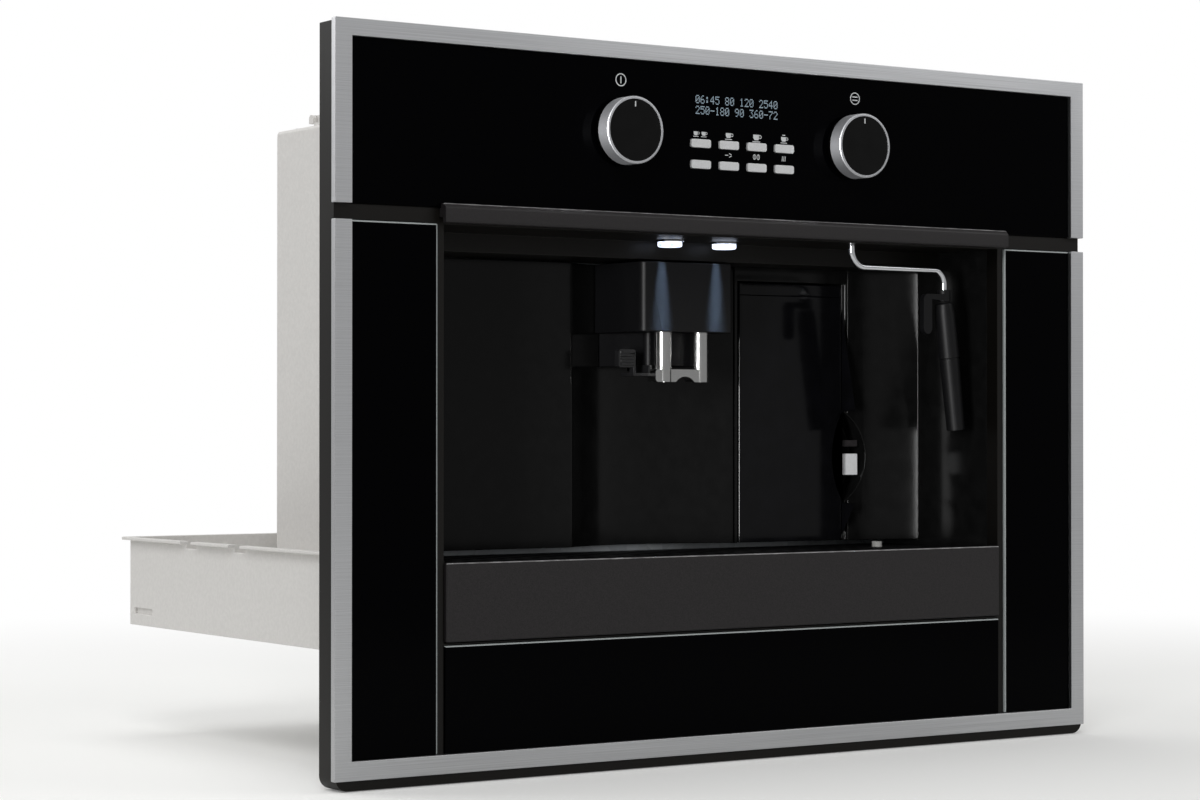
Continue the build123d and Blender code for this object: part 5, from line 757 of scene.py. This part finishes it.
COVER_FACE, CASING_TOP = 335.0, 425.7
COVER_LEFT, COVER_MIDDLE, COVER_RIGHT = -142, 25, 192
COVER_LOW, COVER_HALF_WAY, COVER_HIGH = 96, 254, 412
TOP_LEFT, TOP_RIGHT, TOP_FRONT, TOP_BACK = -138, 188, 20, 322
BACKWARD, UPWARD = (-90, 0, 0), (0, 0, 0)
places = [("cover_screw", (x, COVER_FACE, z), BACKWARD)
          for x in (COVER_LEFT, COVER_MIDDLE, COVER_RIGHT) for z in (COVER_LOW, COVER_HIGH)]
places += [("cover_screw", (x, COVER_FACE, COVER_HALF_WAY), BACKWARD) for x in (COVER_LEFT, COVER_RIGHT)]
places += [("top_screw", (x, y, CASING_TOP), UPWARD)
           for x in (TOP_LEFT, TOP_RIGHT) for y in (TOP_FRONT, TOP_BACK)]
for number, (name, spot, turn) in enumerate(places, 1):
    screw = copied(master, spot, turn)
    screw.name = "%s_%d" % (name, number)
    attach(screw, "machine")
bpy.data.objects.remove(master)
print("screws", len(places))

# %% [markdown]
# In the photograph the slots at the rear of the carriage's sides are closed from behind. A thin plate
# stands behind each: a cube scaled to its size, with its edges rounded, and copied to both sides.

# %% Plates behind the carriage's slots
PLATE_X, PLATE_Y, PLATE_Z = 255.4, 327, 86
PLATE_THICK, PLATE_LONG, PLATE_HIGH = 0.8, 34, 10
deselect()
bpy.ops.mesh.primitive_cube_add(size=1)
master = bpy.context.object
master.scale = (PLATE_THICK * MM, PLATE_LONG * MM, PLATE_HIGH * MM)
pick(master, anywhere)
bpy.ops.mesh.bevel(offset=0.2 * MM, segments=2, affect="EDGES")
bpy.ops.object.mode_set(mode="OBJECT")
for side, x in (("left", -PLATE_X), ("right", PLATE_X)):
    plate = copied(master, (x, PLATE_Y, PLATE_Z))
    fitted(plate, "slot_plate_" + side, "machine", "light_grey_casing")
bpy.data.objects.remove(master)
print("faces of a plate", len(plate.data.polygons))

# %% [markdown]
# Each lamp sits in a thin chrome bezel under the ceiling. It starts as a short cylinder. Its lower face is
# inset and pushed up, which leaves a ring with a shallow well for the lens, and the ring's edges are
# rounded.

# %% Lamp bezels
LAMP_X, LAMP_Y = 22.0, 28
BEZEL_Z, BEZEL_RADIUS, BEZEL_HIGH = 335.3, 9.6, 1.6
BEZEL_WALL, WELL_DEEP, BEZEL_EDGE = 1.3, 1.1, 0.35
deselect()
bpy.ops.mesh.primitive_cylinder_add(vertices=40, radius=BEZEL_RADIUS * MM, depth=BEZEL_HIGH * MM)
master = bpy.context.object
pick(master, lambda centre, normal: normal.z < -0.9)
bpy.ops.mesh.inset(thickness=BEZEL_WALL * MM)
bpy.ops.transform.translate(value=(0, 0, WELL_DEEP * MM))
bpy.ops.object.mode_set(mode="OBJECT")
edge = master.modifiers.new("edge", "BEVEL")
edge.width = BEZEL_EDGE * MM
edge.segments = 2
bpy.ops.object.modifier_apply(modifier="edge")
bpy.ops.object.shade_smooth_by_angle(angle=math.radians(30))
for number, x in enumerate((-LAMP_X, LAMP_X), 1):
    bezel = copied(master, (x, LAMP_Y, BEZEL_Z))
    fitted(bezel, "lamp_bezel_%d" % number, "machine", "chrome")
bpy.data.objects.remove(master)
print("faces of a bezel", len(bezel.data.polygons))

# %% [markdown]
# The camera stands where the photograph was taken: level with the lower part of the machine and about 34
# degrees to its left, with a lens of 86 mm. Its direction is written as a turn from straight ahead and a
# slight rise.

# %% Camera
VIEWPOINT = (-1.1101, -1.5088, 0.2155)
VIEW_TURN, VIEW_RISE = math.radians(33.91), math.radians(0.49)
LENS, FILM_WIDTH = 86.46, 36.0
deselect()
bpy.ops.object.camera_add(location=VIEWPOINT)
camera = bpy.context.object
aim = Vector((math.sin(VIEW_TURN), math.cos(VIEW_TURN), math.tan(VIEW_RISE)))
camera.rotation_euler = aim.to_track_quat("-Z", "Y").to_euler()
camera.data.lens = LENS
camera.data.sensor_width = FILM_WIDTH
scene.camera = camera
print("camera at", [round(v, 3) for v in camera.location])

# %% [markdown]
# The studio is white. The camera sees plain white all round, mirrors and glass see it at less than half,
# because little light came from the front, and the light that it sheds on the object is lower still. One
# function makes that brightness from the kind of ray that asks.


# %% White world
WORLD_LIGHT, MIRRORED_LIGHT = 0.3, 0.45
WHITE = linear("#FFFFFF")


def studio_level(owner):
    """Whether the camera looks, and how bright the white is: full for it, less in mirrors, least as light."""
    rays = add(owner, "LightPath")
    indirect = add(owner, "MapRange", {"To Min": WORLD_LIGHT, "To Max": MIRRORED_LIGHT},
                   {"Value": rays.outputs["Is Glossy Ray"]})
    level = add(owner, "Math", {}, {0: indirect.outputs["Result"], 1: rays.outputs["Is Camera Ray"]},
                {"operation": "MAXIMUM"})
    return rays.outputs["Is Camera Ray"], level.outputs["Value"]


world = bpy.data.worlds.new("studio")
scene.world = world
world.use_nodes = True
background = world.node_tree.nodes["Background"]
background.inputs["Color"].default_value = WHITE
feed(world, background, {"Strength": studio_level(world)[1]})
print("nodes in the world", len(world.node_tree.nodes))

# %% [markdown]
# The floor is a round sheet of pale paper. Near the machine it is lit like paper and keeps the shadow.
# Further out it turns by distance into the same white as the world, so that no edge or horizon shows. Its
# mesh is a circle inset once, so that the middle is one face and the rim a ring of others.

# %% Floor
FLOOR_RADIUS, FLOOR_RIM = 2.6, 1.2
FADE_START, FADE_END = 0.55, 1.6
FLOOR_DROP = 0.5            # mm, so that the floor and the underside don't share a plane
PAPER_GLOW = 0.15
deselect()
bpy.ops.mesh.primitive_circle_add(vertices=96, radius=FLOOR_RADIUS, fill_type="NGON",
                                  location=(0, 0, -FLOOR_DROP * MM))
floor = bpy.context.object
floor.name = "studio_floor"
pick(floor, anywhere)
bpy.ops.mesh.inset(thickness=FLOOR_RIM)
bpy.ops.object.mode_set(mode="OBJECT")

paper, shader, place = blank("studio_paper",
                             {"Roughness": 0.8, "Specular IOR Level": 0.1, "Emission Color": WHITE})
mottle = add(paper, "TexNoise", {"Scale": scale_for(400), "Detail": 2.0}, {"Vector": place})
tone = add(paper, "Mix", {"A": linear("#EAEAE8"), "B": linear("#EEEEEC")}, {"Factor": mottle.outputs["Fac"]},
           {"data_type": "RGBA"})
seen, level = studio_level(paper)
glow = add(paper, "Math", {1: PAPER_GLOW}, {0: seen}, {"operation": "MULTIPLY"})
feed(paper, shader, {"Base Color": tone.outputs["Result"], "Emission Strength": glow.outputs["Value"]})
white = add(paper, "Emission", {"Color": WHITE}, {"Strength": level})
reach = add(paper, "VectorMath", {}, {"Vector": place}, {"operation": "LENGTH"}).outputs["Value"]
fade = add(paper, "MapRange", {"From Min": FADE_START, "From Max": FADE_END}, {"Value": reach},
           {"interpolation_type": "SMOOTHSTEP"})
both = add(paper, "MixShader", {}, {0: fade.outputs["Result"], 1: shader.outputs["BSDF"],
                                    2: white.outputs["Emission"]})
feed(paper, paper.node_tree.nodes["Material Output"], {"Surface": both.outputs["Shader"]})
floor.data.materials.append(paper)
print("floor faces", len(floor.data.polygons))

# %% [markdown]
# A soft box is a square lamp: the larger it is, the softer its shadow. The key stands high on the left, a
# weaker one fills from the right, one hangs over the casing and one lights the back.


# %% Soft boxes
def lamp(name, place, target, size, watts, high=None):
    """A soft box that faces a point, square or higher than it is wide."""
    deselect()
    bpy.ops.object.light_add(type="AREA", location=place)
    made = bpy.context.object
    made.name = name
    made.data.shape = "RECTANGLE"
    made.data.size = size
    made.data.size_y = high or size
    made.data.energy = watts
    made.rotation_euler = (Vector(target) - Vector(place)).to_track_quat("-Z", "Y").to_euler()
    return made


lamp("key_lamp", (-1.6, -1.8, 2.2), (0.0, 0.0, 0.2), 1.2, 30)
lamp("fill_lamp", (1.8, -1.4, 1.6), (0.0, 0.0, 0.2), 1.4, 12)
lamp("top_lamp", (0.0, 0.6, 2.6), (0.0, 0.1, 0.2), 1.6, 18)
lamp("rear_lamp", (-1.6, 1.6, 1.4), (0.0, 0.2, 0.2), 1.4, 18)

# %% [markdown]
# Black gloss needs far more light than the pale casing to draw the upright lines down its edges. So three
# narrow lamps on the left are linked to a few parts each and shine on nothing else: one on the dark parts
# of the recess, one on its right cheek and one on the bands of the knobs. In the same way a small disc
# under each lens washes the spout's head with the cold light of the diodes.


# %% Lamps for the dark parts
def only_on(light, name, nodes):
    """Link a lamp to a few parts, so that it lights nothing else."""
    group = bpy.data.collections.new(name)
    for node in nodes:
        group.objects.link(rounded.get(node, frame["nodes"][node]))
    light.light_linking.receiver_collection = group


only_on(lamp("edge_lamp", (-1.5, -0.95, 0.3), (0.0, 0.05, 0.27), 0.3, 40, 0.6), "recess_parts",
        ("spout_housing", "spout_grip", "spout_tubes", "service_door", "recess_liner", "tank_body",
         "tank_lid", "tank_grip", "wand_pipe", "wand_grip", "wand_nozzle"))
only_on(lamp("cheek_lamp", (-0.25, -1.45, 0.25), (0.215, 0.069, 0.25), 0.05, 3, 0.6), "cheek",
        ("recess_liner",))
only_on(lamp("band_lamp", (-1.2, -0.3, 0.42), (0.0, -0.03, 0.399), 0.12, 90), "knob_bands",
        ("left_knob_ring", "right_knob_ring"))

DIODE_Y, DIODE_Z, DIODE_SIZE = 31.5, 331, 10
AIM_Y, AIM_Z = 33, 290
for number, x in enumerate((-LAMP_X, LAMP_X), 1):
    beam = lamp("diode_%d" % number, (x * MM, DIODE_Y * MM, DIODE_Z * MM), (x * MM, AIM_Y * MM, AIM_Z * MM),
                DIODE_SIZE * MM, 0.12)
    beam.data.shape = "DISK"
    beam.data.color = linear("#A4C0E0")[:3]
    beam.data.spread = math.radians(16)
    only_on(beam, "under_diode_%d" % number, ("spout_housing",))
